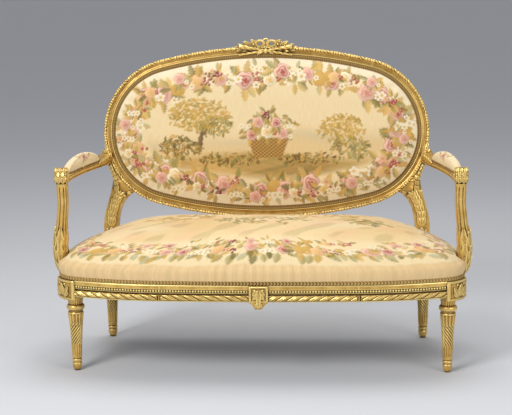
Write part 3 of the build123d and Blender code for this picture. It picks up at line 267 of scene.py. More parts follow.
class Carver:
    """A mesh in the making, with the moves that the settee's pieces share."""

    trim_limit = 1200

    def __init__(self, name: str) -> None:
        """Start an empty mesh for a named piece.

        Args:
            name: The piece's name.
        """
        self.name = name
        self.bm = bmesh.new()
        self.trim = bmesh.new()
        self.stock: list[Mesh] = []

    def put_aside(self) -> None:
        """Keep the ornaments made so far in a mesh of their own, which keeps later ones quick."""
        mesh = bpy.data.meshes.new("trim")
        self.trim.to_mesh(mesh)
        self.trim.clear()
        self.stock.append(mesh)

    def ornament(self) -> bmesh.types.BMesh:
        """Give the small mesh that takes the next ornament.

        Returns:
            The mesh.
        """
        if len(self.trim.faces) > self.trim_limit:
            self.put_aside()
        return self.trim

    def weld(self, verts: Sequence[bmesh.types.BMVert]) -> None:
        """Merge corners that lie in one place."""
        bmesh.ops.remove_doubles(self.bm, verts=verts, dist=WELD)

    def fill(self) -> None:
        """Close every open edge."""
        rims = [edge for edge in self.bm.edges if edge.is_boundary]
        if rims:
            bmesh.ops.holes_fill(self.bm, edges=rims, sides=0)

    def lattice(self, across: int, along: int, place: Place) -> list[bmesh.types.BMVert]:
        """Lay a grid whose corners run from -1 to 1 both ways, and move each to its place.

        Args:
            across: Faces in the grid's x.
            along: Faces in the grid's y.
            place: Gives the place of a grid corner.

        Returns:
            The grid's corners.
        """
        made = bmesh.ops.create_grid(self.bm, x_segments=across, y_segments=along, size=1.0)
        for vert in made["verts"]:
            vert.co = place(vert.co.x, vert.co.y)
        return made["verts"]

    def cover(
        self, cells: tuple[int, int], sides: list[Array], middle: Point
    ) -> tuple[list[bmesh.types.BMVert], Array, Array]:
        """Lay a flat grid that a cloth is shaped from.

        Args:
            cells: Faces across and along.
            sides: The four sides of the cloth's outline.
            middle: The outline's middle.

        Returns:
            The grid's corners, the ring of each, and the outline's point that it lies towards.
        """
        verts = self.lattice(*cells, lambda x, y: Vector((x, y, 0)))
        square = np.array([vert.co[:2] for vert in verts])
        return verts, *spread(sides, middle, square[:, 0], square[:, 1])

    def slab(self, across: int, along: int, place: Place, back: Vector) -> None:
        """Lay a grid and extrude it backwards, so that it is a closed relief.

        Args:
            across: Faces in the grid's x.
            along: Faces in the grid's y.
            place: Gives the place of a grid corner on the front.
            back: The way from the front to the back.
        """
        verts = self.lattice(across, along, place)
        faces = list({face for vert in verts for face in vert.link_faces})
        made = bmesh.ops.extrude_face_region(self.bm, geom=faces)
        moved = [item for item in made["geom"] if isinstance(item, bmesh.types.BMVert)]
        bmesh.ops.translate(self.bm, vec=back, verts=moved)

    def tube(self, around: int, along: int, place: Place) -> None:
        """Lay a grid, its x once round a closed section, weld its seam and close its ends."""
        self.weld(self.lattice(around, along, place))
        self.fill()

    def turn(self, profile: Sequence[Vector], centre: Vector, axis: Vector, angle: float, steps: int) -> None:
        """Spin a profile about an axis, closed and with closed ends if it stops short of a full turn.

        Args:
            profile: Corners of the section, in order.
            centre: A point of the axis.
            axis: The axis.
            angle: The turn in radians.
            steps: Steps of the turn.
        """
        full = abs(angle) > 2 * pi - WELD
        corners = [self.bm.verts.new(point) for point in profile]
        ends = zip(corners, corners[1:] if full else corners[1:] + corners[:1])
        geom = corners + [self.bm.edges.new(pair) for pair in ends]
        bmesh.ops.spin(
            self.bm, geom=geom, cent=centre, axis=axis, angle=angle, steps=steps, use_merge=full
        )
        if not full:
            self.fill()

    def leaf(
        self,
        root: Vector,
        tip: Vector,
        out: Vector,
        width: float,
        height: float,
        lobes: float = 4.0,
        curl: float = 0.0,
        fine: int = 12,
    ) -> None:
        """Carve one leaf: a closed form with lobes, a grooved midrib and a tip that can curl.

        Args:
            root: The foot of its midrib.
            tip: The end of its midrib.
            out: The way that its face looks.
            width: Its greatest width.
            height: Its relief.
            lobes: Lobes on each edge.
            curl: How far its tip lifts off.
            fine: Faces round it and along it.
        """
        run = tip - root
        side = out.cross(run).normalized()
        made = bmesh.ops.create_uvsphere(self.ornament(), u_segments=fine, v_segments=fine, radius=1.0)
        for vert in made["verts"]:
            x, y, z = vert.co
            share = (z + 1) / 2
            ring = sqrt(max(1 - z * z, 1e-9))
            over = x / ring
            body = sin(pi * min(max(share, 0.0), 1.0) ** 0.85) ** 0.75
            half = width / 2 * body * (1 - 0.24 * abs(cos(pi * lobes * share)))
            rise = (1 - 0.5 * over * over) * sqrt(body)
            rise -= 0.5 * exp(-((over / 0.2) ** 2)) * (1 - 0.6 * share)
            rise += 0.2 * cos(2 * pi * lobes * share + 3 * abs(over)) * abs(over)
            rim = min(1.0, abs(y) / ring * 2.5)
            lift = height * rise * rim if y > 0 else -height * 0.5 * rim
            vert.co = root + run * share + side * (over * half) + out * (lift + curl * share * share)

    def ball(self, centre: Vector, radius: float, fine: int = 8) -> None:
        """Set one round bead.

        Args:
            centre: Its middle.
            radius: Its radius.
            fine: Faces round it.
        """
        spot = Matrix.Translation(centre)
        rows = max(5, fine - 2)
        bmesh.ops.create_uvsphere(
            self.ornament(), u_segments=fine, v_segments=rows, radius=radius, matrix=spot
        )

    def rosette(self, centre: Vector, out: Vector, radius: float, petals: int, rows: int) -> None:
        """Carve a flower: rows of cupped petals round a bud.

        Args:
            centre: The middle of its foot.
            out: The way that it faces.
            radius: Its greatest radius.
            petals: Petals in the outer row.
            rows: Rows of petals.
        """
        first = out.orthogonal().normalized()
        for row in range(rows):
            reach = radius * (1 - 0.28 * row)
            lift = out * (radius * 0.2 * row)
            for petal in range(petals - row):
                angle = 2 * pi * (petal + 0.5 * row) / (petals - row)
                way = Matrix.Rotation(angle, 3, out) @ first
                foot = centre + way * (reach * 0.12) + lift
                tip = centre + way * reach + lift
                self.leaf(foot, tip, out, reach * 1.05, radius * 0.2, 1.0, radius * 0.16, 10)
        self.ball(centre + out * (radius * (0.2 * rows + 0.05)), radius * 0.22, 10)

    def copy(self, node: str, above: float) -> None:
        """Take over a CAD node's mesh above a height.

        Args:
            node: The node's name.
            above: The height.
        """
        self.bm.from_mesh(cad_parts[node].data)
        self.weld(self.bm.verts)
        geom = [*self.bm.verts, *self.bm.edges, *self.bm.faces]
        floor = Vector((0, 0, above))
        bmesh.ops.bisect_plane(
            self.bm, geom=geom, dist=WELD, plane_co=floor, plane_no=UP, clear_inner=True
        )
        self.fill()

    def done(self, finish: Material, slot: str, replaces: Sequence[str], crease: float = 38.0) -> Piece:
        """Turn the mesh into a piece that rides on the settee.

        Args:
            finish: Its material.
            slot: The name of its material slot, which only decides whether the corners keep their hollow
                depths.
            replaces: CAD nodes that it stands for.
            crease: Angle in degrees past which an edge stays sharp.

        Returns:
            The piece.
        """
        self.put_aside()
        self.trim.free()
        for ornaments in self.stock:
            self.bm.from_mesh(ornaments)
            bpy.data.meshes.remove(ornaments)
        bmesh.ops.recalc_face_normals(self.bm, faces=self.bm.faces)
        mesh = bpy.data.meshes.new(self.name)
        self.bm.to_mesh(mesh)
        self.bm.free()
        soften(mesh)
        mesh.set_sharp_from_angle(angle=radians(crease))
        if slot == "gilt_wood":
            hollow_shade_map(mesh)
        mesh.materials.clear()
        mesh.materials.append(finish)
        piece = bpy.data.objects.new(self.name, mesh)
        bpy.context.scene.collection.objects.link(piece)
        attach(piece, "root")
        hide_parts(*replaces)
        log.info("%s: %d faces", self.name, len(mesh.polygons))
        return piece


class Shading:
    """A material's nodes, with short calls to add and join them."""

    def __init__(self, name: str) -> None:
        """Start a material with its one shader.

        Args:
            name: The material's name.
        """
        self.material = bpy.data.materials.new(name)
        self.material.use_nodes = True
        self.tree = self.material.node_tree
        self.body = self.tree.nodes["Principled BSDF"]

    def join(self, socket: Socket, value: object) -> None:
        """Link a socket to another, or set its value.

        Args:
            socket: The socket.
            value: The other, or a value.
        """
        if isinstance(value, Socket):
            self.tree.links.new(value, socket)
        else:
            socket.default_value = value

    def wire(self, node: bpy.types.Node, sockets: dict[str | int, object]) -> bpy.types.Node:
        """Set or link a node's inputs, by name or number, and give the node back.

        Args:
            node: The node.
            sockets: Values or links of its inputs.

        Returns:
            The node.
        """
        for key, value in sockets.items():
            self.join(node.inputs[key], value)
        return node

    def add(self, kind: str, sockets: dict[str | int, object], **settings: object) -> bpy.types.Node:
        """Add a node.

        Args:
            kind: Its type.
            sockets: Values or links of its inputs.
            settings: Its own options.

        Returns:
            The node.
        """
        node = self.tree.nodes.new(kind)
        for key, value in settings.items():
            setattr(node, key, value)
        return self.wire(node, sockets)

    def places(self) -> Socket:
        """Give the place of each point in the piece's own coordinates."""
        return self.add("ShaderNodeTexCoord", {}).outputs["Object"]

    def kept(self, name: str, kind: str) -> Socket:
        """Give what the piece keeps on its corners under a name."""
        return self.add("ShaderNodeAttribute", {}, attribute_name=name).outputs[kind]

    def drawn(self, where: Socket, scale: Triple) -> Socket:
        """Stretch a pattern's coordinates."""
        return self.add("ShaderNodeMapping", {"Vector": where, "Scale": scale}).outputs["Vector"]

    def mix(self, low: object, high: object, share: object, blend: str = "MIX") -> Socket:
        """Blend two colours.

        Args:
            low: The colour at a share of 0.
            high: The colour at a share of 1.
            share: The share.
            blend: The way of blending.

        Returns:
            The blended colour.
        """
        low, high = ((*part, 1.0) if isinstance(part, tuple) else part for part in (low, high))
        sockets = {0: share, 6: low, 7: high}
        return self.add("ShaderNodeMix", sockets, data_type="RGBA", blend_type=blend).outputs[2]

    def span(self, value: object, low: float, high: float, start: float, end: float) -> Socket:
        """Map one range of a value to another, and stop at its ends."""
        sockets = {"Value": value, "From Min": low, "From Max": high, "To Min": start, "To Max": end}
        return self.add("ShaderNodeMapRange", sockets).outputs["Result"]

    def grain(self, where: object, scale: float, detail: float) -> Socket:
        """Add noise of a scale."""
        sockets = {"Vector": where, "Scale": scale, "Detail": detail, "Roughness": 0.55}
        return self.add("ShaderNodeTexNoise", sockets).outputs["Fac"]

    def ribs(self, where: object, pitch: float, stray: float, **sockets: float) -> Socket:
        """Add wavy ribs of a pitch in metres."""
        inputs = {"Vector": where, "Scale": 0.314 / pitch, "Distortion": stray, **sockets}
        return self.add("ShaderNodeTexWave", inputs, bands_direction="X").outputs["Fac"]

    def coat(self, sockets: dict[str, object]) -> Material:
        """Set or link the shader's inputs, and give the material."""
        self.wire(self.body, sockets)
        return self.material

    def bump(self, height: object, strength: float, distance: float) -> Socket:
        """Give the surface's direction where a height raises it."""
        sockets = {"Height": height, "Strength": strength, "Distance": distance}
        return self.add("ShaderNodeBump", sockets).outputs["Normal"]


@dataclass(frozen=True)
class Gilding:
    """Water gilding over red bole on carved wood, with painted shade in its hollows and a pale colour on its
    ridges that is part burnish, part painted highlight.
    """

    name: str
    # Pale colour of the ridges: part burnish, part painted highlight.
    burnish_and_highlight: Colour = linear(255, 230, 150)
    bright: Colour = linear(232, 192, 106)
    dull: Colour = linear(200, 156, 76)
    # Painted shade colour, laid in carved hollows and where the occlusion node finds surfaces close by.
    hollow: Colour = linear(74, 44, 14)
    bole: Colour = linear(120, 66, 26)
    metal: float = 0.62
    # Reach of the ambient occlusion that lays the painted shade.
    shelter: float = 0.012

    def build(self) -> Material:
        """Make the material.

        Returns:
            The material.
        """
        shading = Shading(self.name)
        where = shading.places()
        carved = shading.kept("hollow", "Fac")
        cloud = shading.grain(where, 30.0, 3.0)
        speck = shading.grain(where, 210.0, 3.0)
        leaf = shading.mix(self.dull, self.bright, shading.span(cloud, 0.35, 0.65, 0.0, 1.0))
        leaf = shading.mix(leaf, self.bole, shading.span(speck, 0.58, 0.74, 0.0, 0.5))
        # Ridges turn pale: part burnish, part painted highlight.
        leaf = shading.mix(leaf, self.burnish_and_highlight, shading.span(carved, -0.08, -0.70, 0.0, 0.75))
        # Painted shade in the carved hollows.
        leaf = shading.mix(leaf, self.hollow, shading.span(carved, 0.06, 0.60, 0.0, 0.92))
        # Painted shade from ambient occlusion, darkest where surfaces close in.
        shelter = shading.add("ShaderNodeAmbientOcclusion", {"Distance": self.shelter}, samples=8)
        depth = shading.span(shelter.outputs["AO"], 0.36, 0.88, 0.92, 0.0)
        return shading.coat(
            {
                "Base Color": shading.mix(leaf, self.hollow, depth),
                "Roughness": shading.span(speck, 0.3, 0.7, 0.26, 0.46),
                "Metallic": self.metal,
                "Normal": shading.bump(speck, 0.18, 0.0008),
            }
        )


@dataclass(frozen=True)
class Timber:
    """Bare planed wood with a long grain."""

    name: str
    pale: Colour = linear(204, 164, 116)
    dark: Colour = linear(150, 110, 70)

    def build(self) -> Material:
        """Make the material.

        Returns:
            The material.
        """
        shading = Shading(self.name)
        lines = shading.grain(shading.drawn(shading.places(), (6.0, 60.0, 90.0)), 3.0, 4.0)
        return shading.coat(
            {
                "Base Color": shading.mix(self.dark, self.pale, lines),
                "Roughness": 0.62,
                "Normal": shading.bump(lines, 0.15, 0.0006),
            }
        )


@dataclass(frozen=True)
class Weave:
    """Woven cloth that takes its colours from its corners, painted shade included on the braids: ribs one way
    and slubs the other.
    """

    name: str
    rib: float = 0.0019
    relief: float = 0.35
    streak: float = 0.16

    def build(self) -> Material:
        """Make the material.

        Returns:
            The material.
        """
        shading = Shading(self.name)
        dyes = shading.kept("dye", "Color")
        thread = shading.kept("thread", "Vector")
        ribs = shading.ribs(thread, self.rib, 1.2, Detail=1.0)
        slubs = shading.grain(shading.drawn(thread, (420.0, 26.0, 1.0)), 1.0, 3.0)
        weft = shading.grain(shading.drawn(thread, (90.0, 700.0, 1.0)), 1.0, 2.0)
        dark = shading.mix((0.80, 0.76, 0.70), (1.10, 1.08, 1.04), slubs)
        shade = shading.mix(dyes, dark, self.streak * 5.0, "MULTIPLY")
        fleck = shading.mix((0.86, 0.84, 0.80), (1.08, 1.08, 1.06), weft)
        height = shading.add("ShaderNodeMath", {0: ribs, 1: weft}, operation="ADD").outputs[0]
        return shading.coat(
            {
                "Base Color": shading.mix(shade, fleck, 0.7, "MULTIPLY"),
                "Roughness": 0.92,
                "Sheen Weight": 0.12,
                "Specular IOR Level": 0.15,
                "Normal": shading.bump(height, self.relief, 0.0005),
            }
        )


@dataclass(frozen=True)
class Cloth:
    """Plain cloth or cord of one colour, with a fine weave."""

    name: str
    colour: Colour
    pitch: float

    def build(self) -> Material:
        """Make the material.

        Returns:
            The material.
        """
        shading = Shading(self.name)
        where = shading.places()
        cloud = shading.grain(where, 40.0, 3.0)
        weave = shading.ribs(where, self.pitch, 2.0)
        low = tuple(part * 0.72 for part in self.colour)
        shade = shading.mix(low, self.colour, cloud)
        return shading.coat(
            {
                # Painted shade: darker where the weave's bump is low.
                "Base Color": shading.mix(shade, low, shading.span(weave, 0.0, 1.0, 0.25, 0.0)),
                "Roughness": 0.9,
                "Normal": shading.bump(weave, 0.3, 0.0005),
            }
        )


@dataclass(frozen=True)
class Wire:
    """Steel wire and screws, a little oxidised."""

    name: str
    colour: Colour = linear(150, 132, 112)

    def build(self) -> Material:
        """Make the material.

        Returns:
            The material.
        """
        shading = Shading(self.name)
        cloud = shading.grain(shading.places(), 90.0, 3.0)
        low = tuple(part * 0.5 for part in self.colour)
        shade = shading.mix(low, self.colour, cloud)
        return shading.coat({"Base Color": shade, "Metallic": 0.9, "Roughness": 0.4})


@dataclass(frozen=True)
class Finishes:
    """Every finish of the settee, made once."""

    gilt: Material
    beech: Material
    tapestry: Material
    braid: Material
    outside: Material
    dust: Material
    jute: Material
    wire: Material

    @classmethod
    def make(cls) -> "Finishes":
        """Make the materials.

        Returns:
            The finishes.
        """
        return cls(
            gilt=Gilding("gilt_wood").build(),
            beech=Timber("beech_wood").build(),
            tapestry=Weave("tapestry").build(),
            braid=Weave("gimp_braid", rib=0.0012, relief=0.6, streak=0.1).build(),
            outside=Weave("outside_cloth", rib=0.0014, relief=0.25, streak=0.1).build(),
            dust=Weave("dust_cloth", rib=0.0012, relief=0.2, streak=0.06).build(),
            jute=Cloth("jute", linear(178, 148, 100), 0.003).build(),
            wire=Wire("spring_wire").build(),
        )

    def gild(self, mesh: Carver, node: str) -> None:
        """Finish a carved mesh as the gilt piece that stands for a CAD node."""
        mesh.done(self.gilt, "gilt_wood", [node])

    def gimp(self, mesh: Carver, node: str) -> Piece:
        """Finish a mesh as the braid that stands for a CAD node."""
        return mesh.done(self.braid, "gimp_braid", [node], SOFT_CREASE)


def shade_braid(piece: Piece, shade: Array, places: Array) -> None:
    """Colour a braid between its lit colour and its painted shade, by a share for each corner."""
    tint(piece.data, mingle(Dye.BRAID_SHADE.wool, Dye.BRAID.wool, shade), places)


def swell(piece: Piece, held: Array, pressure: float, cap: float, last: int = 20) -> None:
    """Blow a padded cover out a little with Blender's cloth, and keep the result in its mesh.

    Args:
        piece: The cover, riding on the settee.
        held: True for each corner that is tacked down.
        pressure: Pressure under the cover.
        cap: The farthest that a corner may move.
        last: The last frame of the simulation.
    """
    before = corners_of(piece.data)
    group = piece.vertex_groups.new(name="tacks")
    group.add([int(index) for index in np.flatnonzero(held)], 1.0, "REPLACE")
    cloth = piece.modifiers.new("cloth", "CLOTH")
    settings = cloth.settings
    settings.quality = 6
    settings.use_pressure = True
    settings.uniform_pressure_force = pressure
    settings.effector_weights.gravity = 0
    settings.vertex_group_mass = group.name
    settings.tension_stiffness = 25
    settings.compression_stiffness = 25
    cloth.point_cache.frame_start = 1
    cloth.point_cache.frame_end = last
    for step in range(1, last + 1):
        bpy.context.scene.frame_set(step)
    graph = bpy.context.evaluated_depsgraph_get()
    move = corners_of(piece.evaluated_get(graph).data) - before
    piece.modifiers.remove(cloth)
    piece.vertex_groups.remove(group)
    far = np.linalg.norm(move, axis=1, keepdims=True)
    move *= np.minimum(1, cap / np.maximum(far, 1e-9))
    place_corners(piece.data, before + move)
    bpy.context.scene.frame_set(1)
    log.info("%s swelled by up to %.1f mm", piece.name, 1000 * float(np.linalg.norm(move, axis=1).max()))


def refine(piece: Piece, levels: int = 2) -> None:
    """Subdivide a piece smoothly and keep the result in its mesh.

    Args:
        piece: The piece.
        levels: How often each face is divided.
    """
    fine = piece.modifiers.new("fine", "SUBSURF")
    fine.levels = levels
    fine.render_levels = levels
    graph = bpy.context.evaluated_depsgraph_get()
    mesh = bpy.data.meshes.new_from_object(piece.evaluated_get(graph))
    piece.modifiers.remove(fine)
    coarse = piece.data
    mesh.name = piece.name
    piece.data = mesh
    bpy.data.meshes.remove(coarse)


def tuck(piece: Piece, fold: Callable[..., Vector], steps: Sequence[Sequence[float]]) -> None:
    """Turn a cover's edge in, fold by fold, and close it underneath.

    Args:
        piece: The cover.
        fold: Gives the place of a corner of the edge after a fold, from that fold's sizes.
        steps: The sizes of each fold.
    """
    mesh = Carver(piece.name)
    mesh.bm.from_mesh(piece.data)
    loop = [edge for edge in mesh.bm.edges if edge.is_boundary]
    for step in steps:
        made = bmesh.ops.extrude_edge_only(mesh.bm, edges=loop)["geom"]
        loop = [item for item in made if isinstance(item, bmesh.types.BMEdge)]
        for vert in (item for item in made if isinstance(item, bmesh.types.BMVert)):
            vert.co = fold(vert.co, *step)
    mesh.fill()
    bmesh.ops.recalc_face_normals(mesh.bm, faces=mesh.bm.faces)
    mesh.bm.to_mesh(piece.data)
    mesh.bm.free()
    soften(piece.data)


@dataclass(frozen=True)
class Bend:
    """One arc of an outline: its middle, radius, first angle and sweep, in radians."""

    middle: Point
    radius: float
    first: float
    sweep: float

    @property
    def length(self) -> float:
        """Give the arc's length."""
        return self.radius * self.sweep

    def at(self, run: float) -> tuple[float, float, float, float]:
        """Give the point after a run along the arc, and the way out from it.

        Args:
            run: The run.

        Returns:
            The point's x and y, and the way's.
        """
        angle = self.first + run / self.radius
        way = (cos(angle), sin(angle))
        return self.middle[0] + self.radius * way[0], self.middle[1] + self.radius * way[1], *way


@dataclass(frozen=True)
class SeatPlan:
    """The seat frame seen from above: four arcs on each half, and a straight back."""

    front_y: float = -0.3295
    flat_half: float = 0.320
    flat_radius: float = 6.0
    turn_radius: float = 0.960
    turn_angle: float = radians(17.5)
    corner_radius: float = 0.097
    corner_angle: float = radians(60.0)
    side_end: Point = (0.586, 0.206409)
    back_edge: float = 0.250409
    rail_bottom: float = 0.262
    rail_top: float = 0.316
    bends: list[Bend] = field(default_factory=list)
    reach: list[float] = field(default_factory=list)

    def __post_init__(self) -> None:
        """Work out the arcs of the right half from the middle of the front, and the run to each one's end."""
        x, y, heading = 0.0, self.front_y, 0.0
        turns = (
            (self.flat_radius, asin(self.flat_half / self.flat_radius)),
            (self.turn_radius, self.turn_angle),
            (self.corner_radius, self.corner_angle),
        )
        for radius, sweep in turns:
            middle = (x - radius * sin(heading), y + radius * cos(heading))
            self.bends.append(Bend(middle, radius, heading - pi / 2, sweep))
            heading += sweep
            x, y = middle[0] + radius * sin(heading), middle[1] - radius * cos(heading)
        run_x, run_y = self.side_end[0] - x, self.side_end[1] - y
        radius = (run_x**2 + run_y**2) / (2 * (run_y * cos(heading) - run_x * sin(heading)))
        middle = (x - radius * sin(heading), y + radius * cos(heading))
        stop = atan2(self.side_end[1] - middle[1], self.side_end[0] - middle[0])
        first = heading - pi / 2
        self.bends.append(Bend(middle, radius, first, stop - first))
        self.reach.extend(np.cumsum([bend.length for bend in self.bends]).tolist())

    def walk(self, run: float) -> tuple[float, float, float, float]:
        """Give the point of the rails' face after a run from the middle of the front.

        Args:
            run: The run, positive to the right.

        Returns:
            The point's x and y, and the way out from the rails.
        """
        left = abs(run)
        for bend in self.bends[:-1]:
            if left <= bend.length:
                break
            left -= bend.length
        else:
            bend = self.bends[-1]
        x, y, out_x, out_y = bend.at(left)
        return copysign(1, run) * x, y, copysign(1, run) * out_x, out_y

    def spot(self, run: float, inset: float, z: float) -> Vector:
        """Give the point at a run, set in from the rails' face, at a height."""
        x, y, out_x, out_y = self.walk(run)
        return Vector((x - inset * out_x, y - inset * out_y, z))

    def edge(self, inset: float, count: int) -> list[Array]:
        """Give the four sides of the seat's outline, anticlockwise from the left of the front.

        Args:
            inset: How far it is set in.
            count: Points on each side.

        Returns:
            The points of the front, right, back and left sides.
        """
        front_end = self.reach[1] + self.bends[2].length / 2
        side_stop = self.reach[2]
        while self.walk(side_stop)[1] < self.back_edge - inset:
            side_stop += 0.001

        def points(start: float, stop: float) -> Array:
            """Give the points of one side."""
            return np.array([self.spot(run, inset, 0.0)[:2] for run in np.linspace(start, stop, count)])

        right = points(front_end, side_stop)
        left = right[::-1] * (-1, 1)
        back = np.linspace(right[-1], left[0], count)
        return [points(-front_end, front_end), right, back, left]


@dataclass
class OvalPlan:
    """The oval of the back in its own leaning plane: two end arcs and two flatter ones."""

    pivot_y: float = 0.219409
    seat_line: float = 0.330
    rake: float = radians(8.0)
    half_width: float = 0.575
    half_height: float = 0.302
    flat_rise: float = 0.040
    centre_v: float = 0.408

    def __post_init__(self) -> None:
        """Work out the plane's directions, and the arcs of right end, top, left end and bottom."""
        self.out = Vector((0, -cos(self.rake), sin(self.rake)))
        self.up = Vector((0, sin(self.rake), cos(self.rake)))
        self.foot = Vector((0, self.pivot_y, self.seat_line))
        self.centre = self.spot(0, self.centre_v, 0)
        self.end_radius = self.half_height - self.flat_rise
        self.end_u = self.half_width - self.end_radius
        rise = self.end_u**2 + self.half_height**2 - self.end_radius**2
        self.flat_radius = rise / (2 * self.flat_rise)
        self.flat_drop = self.flat_radius - self.half_height
        flat = atan2(self.end_u, self.flat_drop)
        end = pi / 2 - flat
        self.bends = [
            Bend((self.end_u, 0), self.end_radius, -end, 2 * end),
            Bend((0, -self.flat_drop), self.flat_radius, end, 2 * flat),
            Bend((-self.end_u, 0), self.end_radius, pi - end, 2 * end),
            Bend((0, self.flat_drop), self.flat_radius, pi + end, 2 * flat),
        ]
        self.girth = sum(bend.length for bend in self.bends)

    def spot(self, u: float, v: float, w: float) -> Vector:
        """Give the point of the room at a place on the back, with v from the seat line."""
        return self.foot + Vector((u, 0, 0)) + self.up * v + self.out * w

    def flatten(self, points: Array) -> tuple[Array, Array, Array]:
        """Give the u and v of points of the room about the oval's centre, and their height."""
        offset = points - np.array(self.centre)
        return offset[:, 0], offset @ np.array(self.up), offset @ np.array(self.out)

    def rim(self, run: float, inset: float, w: float) -> Vector:
        """Give the point after a run round the oval, set in from its outer edge.

        Args:
            run: The run, from the lower end of the right arc.
            inset: How far in.
            w: Height above the plane.

        Returns:
            The point of the room.
        """
        for bend in self.bends:
            if run <= bend.length + 1e-9:
                break
            run -= bend.length
        u, v, out_u, out_v = bend.at(run)
        return self.spot(u - inset * out_u, v - inset * out_v + self.centre_v, w)

    def inside(self, u: Array, v: Array) -> Array:
        """Give how far points of the oval, about its centre, lie in from its outer edge.

        Args:
            u: Their places across.
            v: Their places up.

        Returns:
            The distances.
        """
        u = np.abs(u)
        v = np.abs(v)
        end = self.end_radius - np.hypot(u - self.end_u, v)
        flat = self.flat_radius - np.hypot(u, v + self.flat_drop)
        at_end = (u - self.end_u) * self.flat_drop > v * self.end_u
        return np.where(at_end, end, flat)

    def edge(self, inset: float, count: int) -> list[Array]:
        """Give the four sides of the oval, set in: bottom, right, top and left, about its centre.

        Args:
            inset: How far they are set in.
            count: Points on each side.

        Returns:
            The points of each side.
        """
        sides = []
        for bend in (self.bends[3], *self.bends[:3]):
            rows = [bend.at(run) for run in np.linspace(0, bend.length, count)]
            sides.append(np.array([(x - inset * ox, y - inset * oy) for x, y, ox, oy in rows]))
        return sides


def bulge(middle: Point, half: Point, count: int) -> list[Point]:
    """Give the half round of a moulding's section about a middle, from below to above it."""
    turns = [pi * index / count for index in range(count + 1)]
    return [(middle[0] + half[0] * sin(turn), middle[1] - half[1] * cos(turn)) for turn in turns]


def border(x: float, y: float, foot: float, top: float, rim: float) -> float:
    """Give the share of a panel's border, which rises from foot to top and falls from rim to the edge."""
    edge = max(abs(x), abs(y))
    return float(ease(foot, top, edge) * ease(1.0, rim, edge))


@dataclass
class OvalFrame:
    """The four moulded pieces of the oval, with a carved ribbon round their outer edge."""

    plan: OvalPlan
    finishes: Finishes
    torus: float = 0.0047
    torus_w: float = 0.0128
    period: float = 0.062
    nub: float = 0.009
    relief: float = 0.0024
    fade: float = 0.004
    step: float = 0.0026
    side: float = 0.0036

    def section(self) -> list[Point]:
        """Give the moulding's section: inset from the outer edge, and height above the plane.

        Returns:
            The section's corners.
        """
        corners = [(0.0282, -0.017), (0.004, -0.017), (0.0, -0.013)]
        corners += [(0.0, -0.013 + 0.006 * index) for index in range(1, 5)]
        torus = bulge((self.torus_w, self.torus), (self.torus, self.torus), 10)
        corners += [(inset, w) for w, inset in torus]
        corners += [(0.0098, 0.0108), (0.0108, 0.0106)]
        for share in (index / 8 for index in range(1, 8)):
            corners.append((0.0108 + 0.0120 * share, 0.0104 - 0.0024 * sin(pi * share)))
        corners += [(0.0228, 0.0100)]
        corners += [(inset, w) for w, inset in bulge((0.0104, 0.0255), (0.0030, 0.0026), 6)]
        corners += [(0.0282, 0.003), (0.041, 0.003), (0.041, -0.011), (0.0282, -0.011)]
        return corners

    def relief_at(self, run: float, turn: float) -> float:
        """Give the carved height of the outer edge.

        Args:
            run: Run round the oval.
            turn: Angle round the torus, from its outer side.

        Returns:
            The height, outwards.
        """
        place = run % self.period
        nubs = 4 * self.nub
        if place < nubs:
            return self.relief * (abs(sin(pi * place / self.nub)) ** 0.7 - 0.45)
        share = (place - nubs) / (self.period - nubs)
        wave = cos(2 * pi * (2 * share + turn / pi))
        return self.relief * 0.7 * (wave * sin(pi * share) - 0.2)

    def carve(self, mesh: Carver, bend: Bend, start: float) -> None:
        """Move the corners of one piece's torus to the carved ribbon.

        Args:
            mesh: The piece.
            bend: Its arc.
            start: The run round the oval at which it starts.
        """
        out, up = self.plan.out, self.plan.up
        for vert in mesh.bm.verts:
            offset = vert.co - self.plan.centre
            away_u, away_v = offset.x - bend.middle[0], offset.dot(up) - bend.middle[1]
            far = hypot(away_u, away_v)
            inset = bend.radius - far
            rise = offset.dot(out) - self.torus_w
            if inset > 2 * self.torus + 0.0002 or rise < -self.fade:
                continue
            angle = (atan2(away_v, away_u) - bend.first) % (2 * pi)
            turn = atan2(max(rise, 0), self.torus - inset)
            lift = self.relief_at(start + angle * bend.radius, turn)
            lift *= 1 if rise > 0 else max(0.0, 1 + rise / self.fade)
            flat = Vector((away_u / far, 0, 0)) + up * (away_v / far)
            vert.co += (out * sin(turn) + flat * cos(turn)) * lift

    def build(self) -> None:
        """Make the four pieces of the oval frame."""
        nodes = ("back_end_right", "back_top_rail", "back_end_left", "back_bottom_rail")
        start = 0.0
        for node, bend in zip(nodes, self.plan.bends):
            mesh = Carver(f"oval_{node}")
            u, v = bend.middle[0], bend.middle[1] + self.plan.centre_v
            way = (cos(bend.first), sin(bend.first))
            profile = []
            for inset, w in divide(self.section(), self.side):
                far = bend.radius - inset
                profile.append(self.plan.spot(u + far * way[0], v + far * way[1], w))
            steps = round(bend.length / self.step)
            mesh.turn(profile, self.plan.spot(u, v, 0), self.plan.out, bend.sweep, steps)
            self.carve(mesh, bend, start)
            self.finishes.gild(mesh, node)
            start += bend.length


